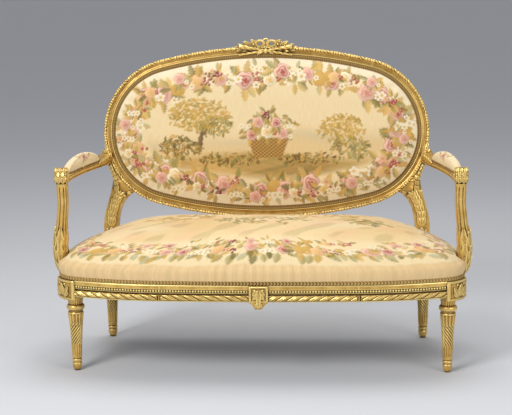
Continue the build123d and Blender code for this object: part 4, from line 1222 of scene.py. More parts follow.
@dataclass
class Crest:
    """The carving on top of the oval: a ribbon bow, roses, leaves and two crossed torches."""

    plan: OvalPlan
    finishes: Finishes
    top_v: float = 0.710
    torch_length: float = 0.190
    torch_radius: float = 0.0046
    torch_lean: float = 0.16
    torch_v: float = 0.694
    torch_w: float = 0.018
    ring_v: float = 0.727
    ring_radius: float = 0.0085

    def torch(self, mesh: Carver, side: Side) -> None:
        """Turn one torch: a spirally bound stick that widens to a cup at its upper end.

        Args:
            mesh: The crest.
            side: The half that it is on.
        """
        way = (Vector((side, 0, 0)) + self.plan.up * self.torch_lean).normalized()
        foot = self.plan.spot(0, self.torch_v, self.torch_w) - way * self.torch_length / 2
        first = self.plan.out
        second = way.cross(first)

        def place(x: float, y: float) -> Vector:
            """Place a corner of the stick.

            Args:
                x: Its place round the section, from -1 to 1.
                y: Its place along, from -1 to 1.

            Returns:
                The corner's place.
            """
            share = (y + 1) / 2
            angle = pi * x
            cup = 1 + 0.75 * ease(0.72, 0.95, share) - 0.25 * ease(0.0, 0.25, 0.25 - share)
            radius = self.torch_radius * float(cup) * (1 + 0.12 * cos(2 * angle - 60 * share))
            round_way = first * cos(angle) + second * sin(angle)
            return foot + way * (self.torch_length * share) + round_way * radius

        mesh.tube(16, 48, place)

    def loop(self, mesh: Carver, side: Side, root: Point, tip: Point, width: float) -> None:
        """Bend one loop of the ribbon's bow.

        Args:
            mesh: The crest.
            side: The half that it is on.
            root: Where it leaves the knot, across and up from the top of the frame.
            tip: The far end of the loop.
            width: The ribbon's width.
        """
        middle = ((root[0] + tip[0]) / 2, (root[1] + tip[1]) / 2)
        long_half = hypot(tip[0] - root[0], tip[1] - root[1]) / 2
        lean = atan2(tip[1] - root[1], tip[0] - root[0])

        def place(x: float, y: float) -> Vector:
            """Place a corner of the ribbon.

            Args:
                x: Its place round the section, from -1 to 1.
                y: Its place along, from -1 to 1.

            Returns:
                The corner's place.
            """
            turn, section = pi * y, pi * x
            along = long_half * cos(turn)
            over = long_half * 0.64 * sin(turn)
            thick = 0.80 + 0.40 * cos(section)
            u = middle[0] + (along * cos(lean) - over * sin(lean)) * thick
            v = middle[1] + (along * sin(lean) + over * cos(lean)) * thick
            w = 0.012 + width / 2 * sin(section) + 0.004 * sin(turn)
            return self.plan.spot(side * u, self.top_v + v, w)

        mesh.tube(10, 36, place)

    def half(self, mesh: Carver, side: Side) -> None:
        """Carve one half: its torch, loops, roses and leaves.

        Args:
            mesh: The crest.
            side: The half.
        """
        out, spot = self.plan.out, self.plan.spot
        self.torch(mesh, side)
        self.loop(mesh, side, (0.002, 0.009), (0.039, 0.010), 0.016)
        self.loop(mesh, side, (0.003, -0.002), (0.024, -0.009), 0.009)
        for u, v, w, radius, rows in (
            (0.043, 0.716, 0.010, 0.0175, 3),
            (0.067, 0.711, 0.011, 0.0150, 3),
            (0.088, 0.704, 0.011, 0.0115, 2),
        ):
            mesh.rosette(spot(side * u, v, w), out, radius, 6, rows)
        for u, v, tip_u, tip_v, width in (
            (0.030, 0.716, 0.054, 0.734, 0.016),
            (0.052, 0.714, 0.080, 0.727, 0.017),
            (0.072, 0.706, 0.100, 0.718, 0.016),
            (0.082, 0.700, 0.112, 0.708, 0.015),
            (0.030, 0.704, 0.058, 0.694, 0.015),
            (0.056, 0.700, 0.084, 0.690, 0.014),
            (0.080, 0.698, 0.106, 0.694, 0.012),
        ):
            tip = spot(side * tip_u, tip_v, 0.013)
            mesh.leaf(spot(side * u, v, 0.009), tip, out, width, 0.005, 3.5, 0.004)
        tip = spot(side * 0.030, 0.680, 0.020)
        mesh.leaf(spot(side * 0.006, 0.697, 0.020), tip, out, 0.011, 0.003, 2.0)

    def build(self) -> None:
        """Make the crest."""
        mesh = Carver("crest")
        out, spot = self.plan.out, self.plan.spot
        for side in Side:
            self.half(mesh, side)

        def ring(x: float, y: float) -> Vector:
            """Place a corner of the small ring on top.

            Args:
                x: Its place round the section, from -1 to 1.
                y: Its place along, from -1 to 1.

            Returns:
                The corner's place.
            """
            turn, section = pi * y, pi * x
            far = self.ring_radius + 0.0036 * cos(section)
            return spot(far * cos(turn), self.ring_v + far * sin(turn), 0.013 + 0.0030 * sin(section))

        mesh.tube(10, 28, ring)
        mesh.rosette(spot(0, 0.708, 0.013), out, 0.0105, 5, 2)
        mesh.ball(spot(0, 0.693, 0.0215), 0.0085, 14)
        self.finishes.gild(mesh, "crest_carving")


@dataclass
class Leg:
    """A turned leg: bulb foot, fluted and spirally reeded shaft, collar and leaf cup."""

    spins: int = 12
    samples: int = 10
    groove: float = 0.0036
    twist: float = 41.0
    twist_from: float = 0.092

    def outline(self) -> list[Point]:
        """Give the turning's radius and height from the foot to the block.

        Returns:
            The profile's corners.
        """
        points = [(0.0, 0.0), (0.0085, 0.0), (0.0100, 0.0008)]
        for share in (index / 8 for index in range(1, 9)):
            points.append((0.0100 + 0.0063 * sin(pi / 2 * share), 0.0008 + 0.0232 * share))
        points += [(0.0158, 0.0265), (0.0140, 0.0285), (0.0140, 0.0300)]
        points += bulge((0.0142, 0.0355), (0.0028, 0.0050), 6)
        points += [(0.0140, 0.0415), (0.0142, 0.0430), (0.0164, 0.0455)]
        for share in (index / 61 for index in range(62)):
            points.append((0.0164 + 0.0058 * share + 0.0041 * share**3.0, 0.0470 + 0.1510 * share))
        points += [(0.0258, 0.1992), (0.0236, 0.2010), (0.0235, 0.2070)]
        points += bulge((0.0240, 0.2170), (0.0060, 0.0085), 10)
        for share in (index / 10 for index in range(1, 11)):
            points.append((0.0236 + 0.0034 * share**2, 0.2260 + 0.0240 * share))
        return [*points, (0.0, LEG_TOP)]

    def depth(self, angle: float, z: float, side: Side) -> float:
        """Give how deep the carving cuts at a place on the shaft.

        Args:
            angle: The angle round the leg.
            z: The height.
            side: The half that the leg is on, whose spirals mirror the other's.

        Returns:
            The depth in from the turning.
        """

        def off(phase: float) -> float:
            """Give how far a place lies from the nearest flute, from 0 to 1."""
            return abs((phase + 0.5) % 1 - 0.5) * 2

        def flute(phase: float, width: float) -> float:
            """Give the depth of a round flute."""
            return max(0.0, 1 - (off(phase) / max(width, 0.02)) ** 2)

        count = self.spins / (2 * pi)
        straight = angle * count
        spiral = straight + side * self.twist * (z - self.twist_from) * count
        cuts = [0.0]
        if 0.150 < z < 0.197:
            width = 0.80 * ease(0.152, 0.180, z)
            cuts.append(self.groove * flute(straight, width) * ease(0.197, 0.193, z))
        if 0.086 < z < 0.176:
            body = ease(0.086, 0.096, z) * ease(0.176, 0.150, z)
            cuts.append(self.groove * 1.25 * off(spiral) ** 1.9 * body)
        if 0.052 < z < 0.094:
            body = ease(0.052, 0.057, z) * ease(0.094, 0.086, z)
            cuts.append(self.groove * 0.6 * off(straight) ** 1.9 * body)
        if 0.228 < z < 0.249:
            cuts.append(0.0016 * flute(straight * 1.5, 0.7) * ease(0.249, 0.244, z))
        return float(max(cuts))

    def carve(self, mesh: Carver, at: Point, side: Side) -> None:
        """Spin a leg at a place on the floor and carve it.

        Args:
            mesh: The piece that takes it.
            at: Its place on the right half.
            side: The half that it is on.
        """
        x, y = side * at[0], at[1]
        before = set(mesh.bm.verts)
        profile = [Vector((x + radius, y, z)) for radius, z in self.outline()]
        mesh.turn(profile, Vector((x, y, 0)), UP, 2 * pi, self.spins * self.samples)
        mesh.weld([vert for vert in mesh.bm.verts if vert not in before])
        for vert in mesh.bm.verts:
            out = Vector((vert.co.x - x, vert.co.y - y, 0))
            if vert not in before and out.length > 0.005:
                vert.co -= out.normalized() * self.depth(atan2(out.y, out.x), vert.co.z, side)


@dataclass
class FrontLegs:
    """The front legs with their carved corner blocks."""

    plan: SeatPlan
    finishes: Finishes
    leg: Leg
    at: Point = (0.612766, -0.204044)
    face: float = 0.100
    low: float = 0.252
    high: float = 0.315

    def panel(self, mesh: Carver, side: Side) -> None:
        """Carve the block's framed leaf.

        Args:
            mesh: The leg.
            side: The half that it is on.
        """
        bend = self.plan.bends[2]
        centre = Vector((bend.middle[0], bend.middle[1], (self.low + self.high) / 2))
        middle = bend.first + bend.sweep / 2
        half = bend.sweep / 2 * 0.985

        def on_face(x: float, y: float, lift: float) -> Vector:
            """Give a point of the block's curved face.

            Args:
                x: Its place across, from -1 to 1.
                y: Its place up, from -1 to 1.
                lift: Its height on the face.

            Returns:
                The point.
            """
            angle = middle + half * x
            far = self.face + lift
            spot = centre + Vector((far * cos(angle), far * sin(angle), (self.high - self.low) / 2 * y))
            return mirrored(side, spot)

        def framed(x: float, y: float) -> Vector:
            """Place a corner of the framed panel."""
            return on_face(x, y, 0.0004 + 0.0026 * border(x, y, 0.78, 0.82, 0.97))

        way = Vector((side * cos(middle), sin(middle), 0))
        mesh.slab(40, 30, framed, way * -0.004)
        for x, tip_x, tip_y, width in (
            (0.0, 0.0, 0.70, 0.034),
            (-0.16, -0.62, 0.42, 0.022),
            (0.16, 0.62, 0.42, 0.022),
            (-0.2, -0.66, -0.22, 0.018),
            (0.2, 0.66, -0.22, 0.018),
        ):
            root = on_face(x, -0.68, 0.0005)
            mesh.leaf(root, on_face(tip_x, tip_y, 0.0022), way, width, 0.0046, 4.0, 0.002)
        for x in (-0.30, 0.30):
            mesh.ball(on_face(x, 0.60, 0.001), 0.0042, 10)

    def build(self) -> None:
        """Make both front legs."""
        for side in Side:
            node = f"front_leg_{side.word}"
            mesh = Carver(f"leg_front_{side.word}")
            mesh.copy(node, LEG_TOP)
            self.leg.carve(mesh, self.at, side)
            self.panel(mesh, side)
            self.finishes.gild(mesh, node)


@dataclass
class BackLegs:
    """The back legs: turned below, a plain block, and a stile carved with overlapping leaves."""

    oval: OvalPlan
    finishes: Finishes
    leg: Leg
    at: Point = (0.557, 0.229409)
    face_w: float = 0.0170
    block_u: float = 0.549

    def on_face(self, side: Side, u: float, v: float, lift: float) -> Vector:
        """Give a point of the stile's front."""
        return self.oval.spot(side * u, v, self.face_w + lift)

    def spray(self, mesh: Carver, side: Side, path: Sequence[Triple], count: int, size: float) -> None:
        """Carve threes of overlapping leaves along the stile.

        Args:
            mesh: The leg.
            side: Its half.
            path: Places across and up, each with the spread of the leaves there.
            count: Threes of leaves.
            size: A leaf's length.
        """
        out = self.oval.out
        for index in range(count):
            place = index / count * (len(path) - 1)
            one, two = (Vector(point) for point in path[int(place) : int(place) + 2])
            here = one.lerp(two, place % 1)
            run = (two - one).to_2d().normalized()
            tip = here.to_2d() + run * size
            over = Vector((-run.y, run.x)) * here.z
            for end in (tip - over, tip + over):
                root = self.on_face(side, here.x, here.y, -0.0005)
                mesh.leaf(root, self.on_face(side, *end, 0.0015), out, size * 0.52, 0.0058, 3.0, 0.0022, 10)
            root = self.on_face(side, here.x, here.y, 0.0)
            mesh.leaf(root, self.on_face(side, *tip, 0.002), out, size * 0.42, 0.0064, 2.0, 0.0020, 10)

    def foliage(self, mesh: Carver, side: Side) -> None:
        """Carve the leaves on the stile's front, and the beads and leaves at its foot.

        Args:
            mesh: The leg.
            side: The half that it is on.
        """
        low = [(0.549, 0.070, 0.013), (0.547, 0.116, 0.014), (0.538, 0.150, 0.014), (0.523, 0.183, 0.012)]
        high = [(0.529, 0.196, 0.007), (0.532, 0.232, 0.005), (0.542, 0.262, 0.003), (0.551, 0.284, 0.002)]
        inner = [(0.515, 0.180, 0.008), (0.497, 0.190, 0.004), (0.484, 0.194, 0.003)]
        for path, count, size in ((low, 6, 0.040), (high, 6, 0.024), (inner, 2, 0.020)):
            self.spray(mesh, side, path, count, size)
        for foot, tip, foot_v, tip_v, width, height, lobes, curl in (
            (-0.004, -0.017, 0.026, 0.070, 0.014, 0.0045, 2.0, 0.001),
            (0.004, 0.017, 0.026, 0.070, 0.014, 0.0045, 2.0, 0.001),
            (0.0, 0.0, 0.030, 0.078, 0.018, 0.0060, 1.0, 0.0),
        ):
            root = self.on_face(side, self.block_u + foot, foot_v, 0.0)
            end = self.on_face(side, self.block_u + tip, tip_v, 0.001)
            mesh.leaf(root, end, self.oval.out, width, height, lobes, curl)
        for index in range(5):
            mesh.ball(self.on_face(side, 0.531 + 0.009 * index, 0.021, -0.0006), 0.0048, 10)

    def build(self) -> None:
        """Make both back legs."""
        for side in Side:
            node = f"back_leg_{side.word}"
            mesh = Carver(f"leg_back_{side.word}")
            mesh.copy(node, LEG_TOP)
            self.leg.carve(mesh, self.at, side)
            self.foliage(mesh, side)
            self.finishes.gild(mesh, node)


@dataclass
class SeatRails:
    """The moulded rails: a twisted ribbon below, a hollow, a row of beads and a plain band."""

    plan: SeatPlan
    finishes: Finishes
    pitch: float = 0.034
    relief: float = 0.0058
    ribbon_low: float = 0.004
    ribbon_height: float = 0.018
    tie_run: float = 0.322
    bead: float = 0.0042
    bead_pitch: float = 0.0092
    step: float = 0.0024
    side: float = 0.0032

    def section(self) -> list[Point]:
        """Give the rail's section: inset from its face, and height.

        Returns:
            The section's corners.
        """
        corners = [(0.020, 0.0), (0.0035, 0.0), (0.0015, 0.0012), (0.0015, 0.0032)]
        corners += bulge((0.0038, 0.0130), (-0.0038, 0.0090), 12)
        corners += [(0.0075, 0.0225), (0.0078, 0.0262), (0.0055, 0.0276), (0.0030, 0.0280)]
        corners += [(0.0030, 0.0296), (0.0050, 0.0300), (0.0050, 0.0388), (0.0024, 0.0394)]
        corners += [(0.0018, 0.0404), (0.0015, 0.0520), (0.0028, 0.0540), (0.042, 0.0540)]
        corners += [(0.042, 0.008), (0.020, 0.008)]
        return [(inset, self.plan.rail_bottom + z) for inset, z in corners]

    def twist(self, run: float, share: float) -> float:
        """Give the ribbon's height at a run along the rail and a share of its own height.

        Args:
            run: The run.
            share: The share.

        Returns:
            The height, outwards.
        """
        tie = abs(abs(run) - self.tie_run)
        if tie < 0.009:
            return self.relief * (0.35 if tie > 0.0055 or tie < 0.002 else -0.15)
        phase = abs(run) / self.pitch - 0.85 * share
        stroke = abs(cos(pi * phase)) ** 0.7
        fine = 0.16 * cos(6 * pi * phase)
        return self.relief * (stroke * (1 + fine) - 0.62) * sin(pi * share) ** 0.5

    def carve(self, mesh: Carver, bend: Bend, sign: int, start: float) -> None:
        """Move the corners of the ribbon along one arc to its twist.

        Args:
            mesh: The rail.
            bend: The arc.
            sign: The half that it is on, or 0 for the middle arc.
            start: The run from the middle of the front at which the arc starts.
        """
        low = self.plan.rail_bottom + self.ribbon_low
        first = 0.0 if sign else -bend.sweep
        for vert in mesh.bm.verts:
            share = (vert.co.z - low) / self.ribbon_height
            away = Vector((vert.co.x * (sign or 1) - bend.middle[0], vert.co.y - bend.middle[1]))
            angle = atan2(away.y, away.x) - bend.first
            if not 0.001 < share < 0.999 or abs(bend.radius - away.length) > 0.006:
                continue
            if first - WELD <= angle <= bend.sweep + WELD:
                way = away.normalized() * self.twist(start + angle * bend.radius, share)
                vert.co += Vector((way.x * (sign or 1), way.y, 0))

    def beads(self, mesh: Carver, start: float, stop: float, skip: float) -> None:
        """Set the row of beads along a run of rail.

        Args:
            mesh: The rail.
            start: Where the row starts.
            stop: Where it stops.
            skip: Half the gap that it leaves at the middle of the front.
        """
        count = round((stop - start) / self.bead_pitch)
        for index in range(count):
            run = start + (stop - start) * (index + 0.5) / count
            if abs(run) > skip:
                mesh.ball(self.plan.spot(run, 0.0044, self.plan.rail_bottom + 0.0345), self.bead, 8)

    def bar(self, mesh: Carver, bend: Bend, sign: int, start: float, sweep: float) -> None:
        """Spin the moulding along an arc.

        Args:
            mesh: The rail.
            bend: The arc.
            sign: The half that it is on, or 0 for the middle arc.
            start: The run at which it starts.
            sweep: The turn in radians.
        """
        profile = [self.plan.spot(start, inset, z) for inset, z in divide(self.section(), self.side)]
        centre = Vector((sign * bend.middle[0], bend.middle[1], 0))
        mesh.turn(profile, centre, UP, sweep, round(abs(sweep) * bend.radius / self.step))

    def build(self) -> None:
        """Make the front rail and the side rails."""
        flat, turn, _, side_bend = self.plan.bends
        reach = self.plan.reach
        mesh = Carver("rail_front")
        for side in Side:
            self.bar(mesh, turn, side, side * flat.length, side * turn.sweep)
        self.bar(mesh, flat, 0, -flat.length, 2 * flat.sweep)
        self.carve(mesh, flat, 0, 0.0)
        for side in Side:
            self.carve(mesh, turn, side, reach[0])
        gap = 0.002
        self.beads(mesh, gap - reach[1], reach[1] - gap, 0.033)
        self.finishes.gild(mesh, "front_rail")
        for side in Side:
            mesh = Carver(f"rail_side_{side.word}")
            self.bar(mesh, side_bend, side, side * reach[2], side * side_bend.sweep)
            self.carve(mesh, side_bend, side, reach[2])
            self.beads(mesh, *sorted((side * (reach[2] + gap), side * (reach[3] - gap))), 0.0)
            self.finishes.gild(mesh, f"side_rail_{side.word}")


@dataclass
class Boss:
    """The carved block in the middle of the front rail, with a leaf that drops below it."""

    finishes: Finishes
    half: float = 0.0310
    face_y: float = -0.3345
    low: float = 0.262
    high: float = 0.316
    fit: float = 0.97

    def on_face(self, x: float, z: float, lift: float) -> Vector:
        """Give a point of the block's face."""
        return Vector((x, self.face_y - lift, z))

    def framed(self, x: float, y: float) -> Vector:
        """Place a corner of the framed panel."""
        z = (self.low + self.high) / 2 + (self.high - self.low) / 2 * self.fit * y
        return self.on_face(self.half * self.fit * x, z, 0.0003 + 0.0026 * border(x, y, 0.76, 0.81, 0.965))

    def build(self) -> None:
        """Make the boss."""
        mesh = Carver("boss")
        mesh.copy("front_rail_boss", 0.0)
        out = Vector((0, -1, 0))
        mesh.slab(30, 28, self.framed, out * -0.004)
        for x, z, tip_x, tip_z, width in (
            (0.0, 0.306, 0.0, 0.252, 0.026),
            (-0.004, 0.303, -0.021, 0.284, 0.016),
            (0.004, 0.303, 0.021, 0.284, 0.016),
            (-0.003, 0.292, -0.020, 0.270, 0.015),
            (0.003, 0.292, 0.020, 0.270, 0.015),
            (0.0, 0.274, 0.0, 0.2405, 0.019),
            (-0.003, 0.264, -0.012, 0.2450, 0.012),
            (0.003, 0.264, 0.012, 0.2450, 0.012),
        ):
            root = self.on_face(x, z, 0.0010)
            mesh.leaf(root, self.on_face(tip_x, tip_z, 0.0022), out, width, 0.0042, 3.5, 0.0006)
        for x in (-0.013, 0.013):
            mesh.ball(self.on_face(x, 0.3035, 0.0012), 0.0042, 10)
        self.finishes.gild(mesh, "front_rail_boss")


@dataclass
class Arms:
    """The arms with their scrolled hands, and the reeded supports under them."""

    oval: OvalPlan
    finishes: Finishes
    root: Point = (0.5661, 0.26241)
    front_x: float = 0.652
    hand_y: float = -0.1965
    base: float = 0.624
    height: float = 0.024
    width: float = 0.045
    flare: float = 0.040
    flare_share: float = 0.19
    hand_low: float = 0.622
    hand_round: float = 0.027
    hand_width: float = 0.043
    hand_length: float = 0.064
    support_foot: Point = (0.652, -0.1145)
    support_lean: float = -0.050
    support_low: float = 0.316

    def line(self, share: float) -> tuple[Vector, Vector]:
        """Give a point of the right arm's middle line, at its underside, and the way across it.

        Args:
            share: Share of the arm, from 0 at the oval to 1 at the hand.

        Returns:
            The point and the way.
        """
        turn = share * pi / 2
        run = self.front_x - self.root[0]
        reach = self.hand_y - self.root[1]
        point = Vector((self.root[0] + run * sin(turn), self.root[1] + reach * share, self.base))
        way = Vector((run * pi / 2 * cos(turn), reach, 0)).normalized()
        return point, Vector((-way.y, way.x, 0))

    def arm(self, mesh: Carver, side: Side) -> None:
        """Shape one arm: a rounded bar with grooved sides that flares up to the oval.

        Args:
            mesh: The arm.
            side: The half that it is on.
        """

        def place(x: float, y: float) -> Vector:
            """Place a corner of the bar.

            Args:
                x: Its place round the section, from -1 to 1.
                y: Its place along, from -1 to 1.

            Returns:
                The corner's place.
            """
            share = -0.012 + 0.925 * (y + 1) / 2
            point, right = self.line(share)
            rise = self.height + self.flare * max(0.0, 1 - (share + 0.05) / self.flare_share) ** 2
            angle = pi * x
            local = 0.5 * bow(sin(angle), 0.5) * rise
            over = self.width / 2 * bow(cos(angle), 0.45)
            groove = sum(exp(-(((local - at) / 0.0016) ** 2)) for at in (-0.005, 0.006))
            over -= copysign(0.0024 * groove, over) * (abs(cos(angle)) > 0.3)
            return mirrored(side, point + right * over + UP * (rise / 2 + local))

        mesh.tube(56, 90, place)

    def hand(self, mesh: Carver, side: Side) -> None:
        """Shape one hand: a rolled scroll with leaf ribs round its front and coils on its sides.

        Args:
            mesh: The arm.
            side: The half that it is on.
        """
        half = self.hand_width / 2
        back = self.hand_y + self.hand_length
        axis_y = self.hand_y + self.hand_round + 0.001
        axis_z = self.hand_low + self.hand_round
        peak = axis_z + self.hand_round
        top = self.base + self.height + 0.002

        def spot(over: float, far: float, turn: float) -> Vector:
            """Give a point beside the hand's middle plane, at an angle round its axis."""
            return Vector((side * (self.front_x + over), axis_y + far * cos(turn), axis_z + far * sin(turn)))

        def outline(share: float) -> Point:
            """Give a point of the hand's outline, from the back of its underside.

            Args:
                share: Share of the outline.

            Returns:
                The point's y and z.
            """
            if share < 0.18:
                return back + (axis_y - back) * share / 0.18, self.hand_low
            if share < 0.68:
                turn = pi * (share - 0.18) / 0.5
                return axis_y - self.hand_round * sin(turn), axis_z - self.hand_round * cos(turn)
            if share < 0.90:
                left = (share - 0.68) / 0.22
                return axis_y + (back - axis_y) * left, peak + (top - peak) * float(ease(0, 1, left))
            return back, top + (self.hand_low - top) * (share - 0.90) / 0.10

        def place(x: float, y: float) -> Vector:
            """Place a corner of the scroll.

            Args:
                x: Its place round the section, from -1 to 1.
                y: Its place along, from -1 to 1.

            Returns:
                The corner's place.
            """
            y_at, z_at = outline((x + 1) / 2 % 1.0)
            rib = 0.0016 * cos(pi * 5 * y) * (abs(y) < 0.98)
            away = Vector((y_at - axis_y, z_at - axis_z))
            away *= 1 - 0.12 * abs(y) ** 6 + rib / max(away.length, 0.01)
            z_at = max(self.hand_low - 0.001, axis_z + away.y)
            return Vector((side * (self.front_x + half * y), axis_y + away.x, z_at))

        mesh.tube(72, 40, place)
        for face in (-1, 1):

            def coil(x: float, y: float, face: int = face) -> Vector:
                """Place a corner of the coil on one face.

                Args:
                    x: Its place round the section, from -1 to 1.
                    y: Its place along, from -1 to 1.
                    face: The hand's face, -1 or 1.

                Returns:
                    The corner's place.
                """
                share = (y + 1) / 2
                thick = 0.0030 * (1 - 0.35 * share)
                reach = 0.0215 * (1 - 0.80 * share) + thick * cos(pi * x)
                out = half - 0.0012 + thick * 0.8 * sin(pi * x)
                return spot(face * out, reach, 4.2 * pi * share + pi / 2)

            mesh.tube(10, 96, coil)
            mesh.ball(spot(face * half, 0.0, 0.0), 0.0042, 12)
        odd, even = (-0.62, 0.0, 0.62), (-0.34, 0.34)
        length = 0.24 * pi
        reach = self.hand_round + 0.0004
        for turn, overs in ((0.30, odd), (0.62, even), (0.94, odd), (1.22, even)):
            start = pi * (turn * 0.5 - 1.52)
            out = Vector((0, cos(start + length / 2), sin(start + length / 2)))
            for over in overs:
                foot = spot(over * half, reach, start) + out * 0.0006
                tip = spot(over * half, reach, start + length) + out * 0.0014
                mesh.leaf(foot, tip, out, 0.017, 0.0036, 3.0, 0.0012, 10)

    def rootwork(self, mesh: Carver, side: Side) -> None:
        """Carve the flower and leaves where an arm leaves the oval.

        Args:
            mesh: The arm.
            side: The half that it is on.
        """
        out, spot = self.oval.out, self.oval.spot
        mesh.rosette(spot(side * 0.5585, 0.322, 0.0175), out, 0.0145, 6, 2)
        for u, v, tip_u, tip_v, width in (
            (0.560, 0.334, 0.572, 0.372, 0.016),
            (0.556, 0.306, 0.549, 0.268, 0.014),
            (0.566, 0.330, 0.577, 0.352, 0.012),
        ):
            tip = spot(side * tip_u, tip_v, 0.0130)
            mesh.leaf(spot(side * u, v, 0.0130), tip, out, width, 0.0045, 3.5, 0.0)
        for index in range(4):
            point, right = self.line(0.045 + 0.045 * index)
            next_point, _ = self.line(0.115 + 0.045 * index)
            lift = UP * (0.016 + 0.012 * (1 - index / 4))
            for face in (-right, right):
                over = face * (self.width / 2)
                root = mirrored(side, point + over + lift)
                tip = mirrored(side, next_point + over + lift * 0.9)
                mesh.leaf(root, tip, mirrored(side, face), 0.020, 0.0034, 3.0, 0.0006, 10)

    def support(self, mesh: Carver, side: Side) -> None:
        """Shape one support: a leaning post that swells near the seat, with reeds above a leaf.

        Args:
            mesh: The support.
            side: The half that it is on.
        """
        marks = (0.0, 0.14, 0.34, 0.56, 0.78, 1.0)
        shifts = (0.008, 0.018, 0.018, 0.008, 0.0, 0.0)
        widths = (0.036, 0.044, 0.044, 0.037, 0.035, 0.037)
        depths = (0.040, 0.050, 0.050, 0.038, 0.038, 0.042)
        fine = np.linspace(0, 1, 201)
        kernel = np.hanning(31)
        kernel /= kernel.sum()

        def smooth(values: Sequence[float]) -> Array:
            """Round off the corners of a curve through the marks."""
            rough = np.interp(fine, marks, values)
            return np.convolve(np.pad(rough, 15, "edge"), kernel, "valid")

        shift, wide, deep = smooth(shifts), smooth(widths), smooth(depths)

        def at(share: float, curve: Array) -> float:
            """Read a curve."""
            return float(np.interp(share, fine, curve))

        def spot(share: float, over: float, front: float) -> Vector:
            """Give a point beside the post's middle line.

            Args:
                share: Share of the post's height.
                over: How far outwards.
                front: How far along y.

            Returns:
                The point.
            """
            x = self.support_foot[0] + at(share, shift) + over
            y = self.support_foot[1] + self.support_lean * share + front
            return Vector((side * x, y, self.support_low + (self.hand_low - self.support_low) * share))

        def place(x: float, y: float) -> Vector:
            """Place a corner of the post.

            Args:
                x: Its place round the section, from -1 to 1.
                y: Its place along, from -1 to 1.

            Returns:
                The corner's place.
            """
            share = (y + 1) / 2
            angle = pi * x
            reed = abs(sin(5 * angle)) ** 0.7 - 0.70
            body = ease(0.40, 0.48, share) * ease(0.985, 0.95, share)
            lift = 0.48 * float(1 + 0.26 * reed * body + 0.05 * ease(0.955, 0.975, share))
            over, front = bow(cos(angle), 0.8), bow(sin(angle), 0.8)
            return spot(share, at(share, wide) * over * lift, at(share, deep) * front * lift)

        mesh.tube(112, 110, place)
        for flute in range(10):
            for bead in range(14):
                mesh.ball(place(flute / 5 - 1, 0.16 + 0.050 * bead), 0.0023, 6)
        for turn in range(0, 360, 45):
            way = (cos(radians(turn - 90)), sin(radians(turn - 90)))
            corner = turn % 90 > 0
            inner = way[0] < -0.5

            def on_face(share: float, way: Point = way) -> Vector:
                """Give a point of the plain post on the leaf's side."""
                far = 1 / hypot(2 * way[0] / at(share, wide), 2 * way[1] / at(share, deep))
                return spot(share, way[0] * far, way[1] * far)

            out = Vector((side * way[0], way[1], 0))
            lift, curl = (0.0030, 0.0) if inner else (0.0050, 0.0032)
            for low, high in ((0.26, 0.52), (0.12, 0.36), (0.0, 0.20)):
                tip = on_face(high - 0.04 * corner)
                mesh.leaf(on_face(low), tip, out, 0.024 if corner else 0.029, lift, 3.0, curl, 12)

    def build(self) -> None:
        """Make both arms and both supports."""
        for side in Side:
            mesh = Carver(f"armrest_{side.word}")
            self.arm(mesh, side)
            self.hand(mesh, side)
            self.rootwork(mesh, side)
            self.finishes.gild(mesh, f"arm_{side.word}")
            mesh = Carver(f"armpost_{side.word}")
            self.support(mesh, side)
            self.finishes.gild(mesh, f"arm_support_{side.word}")


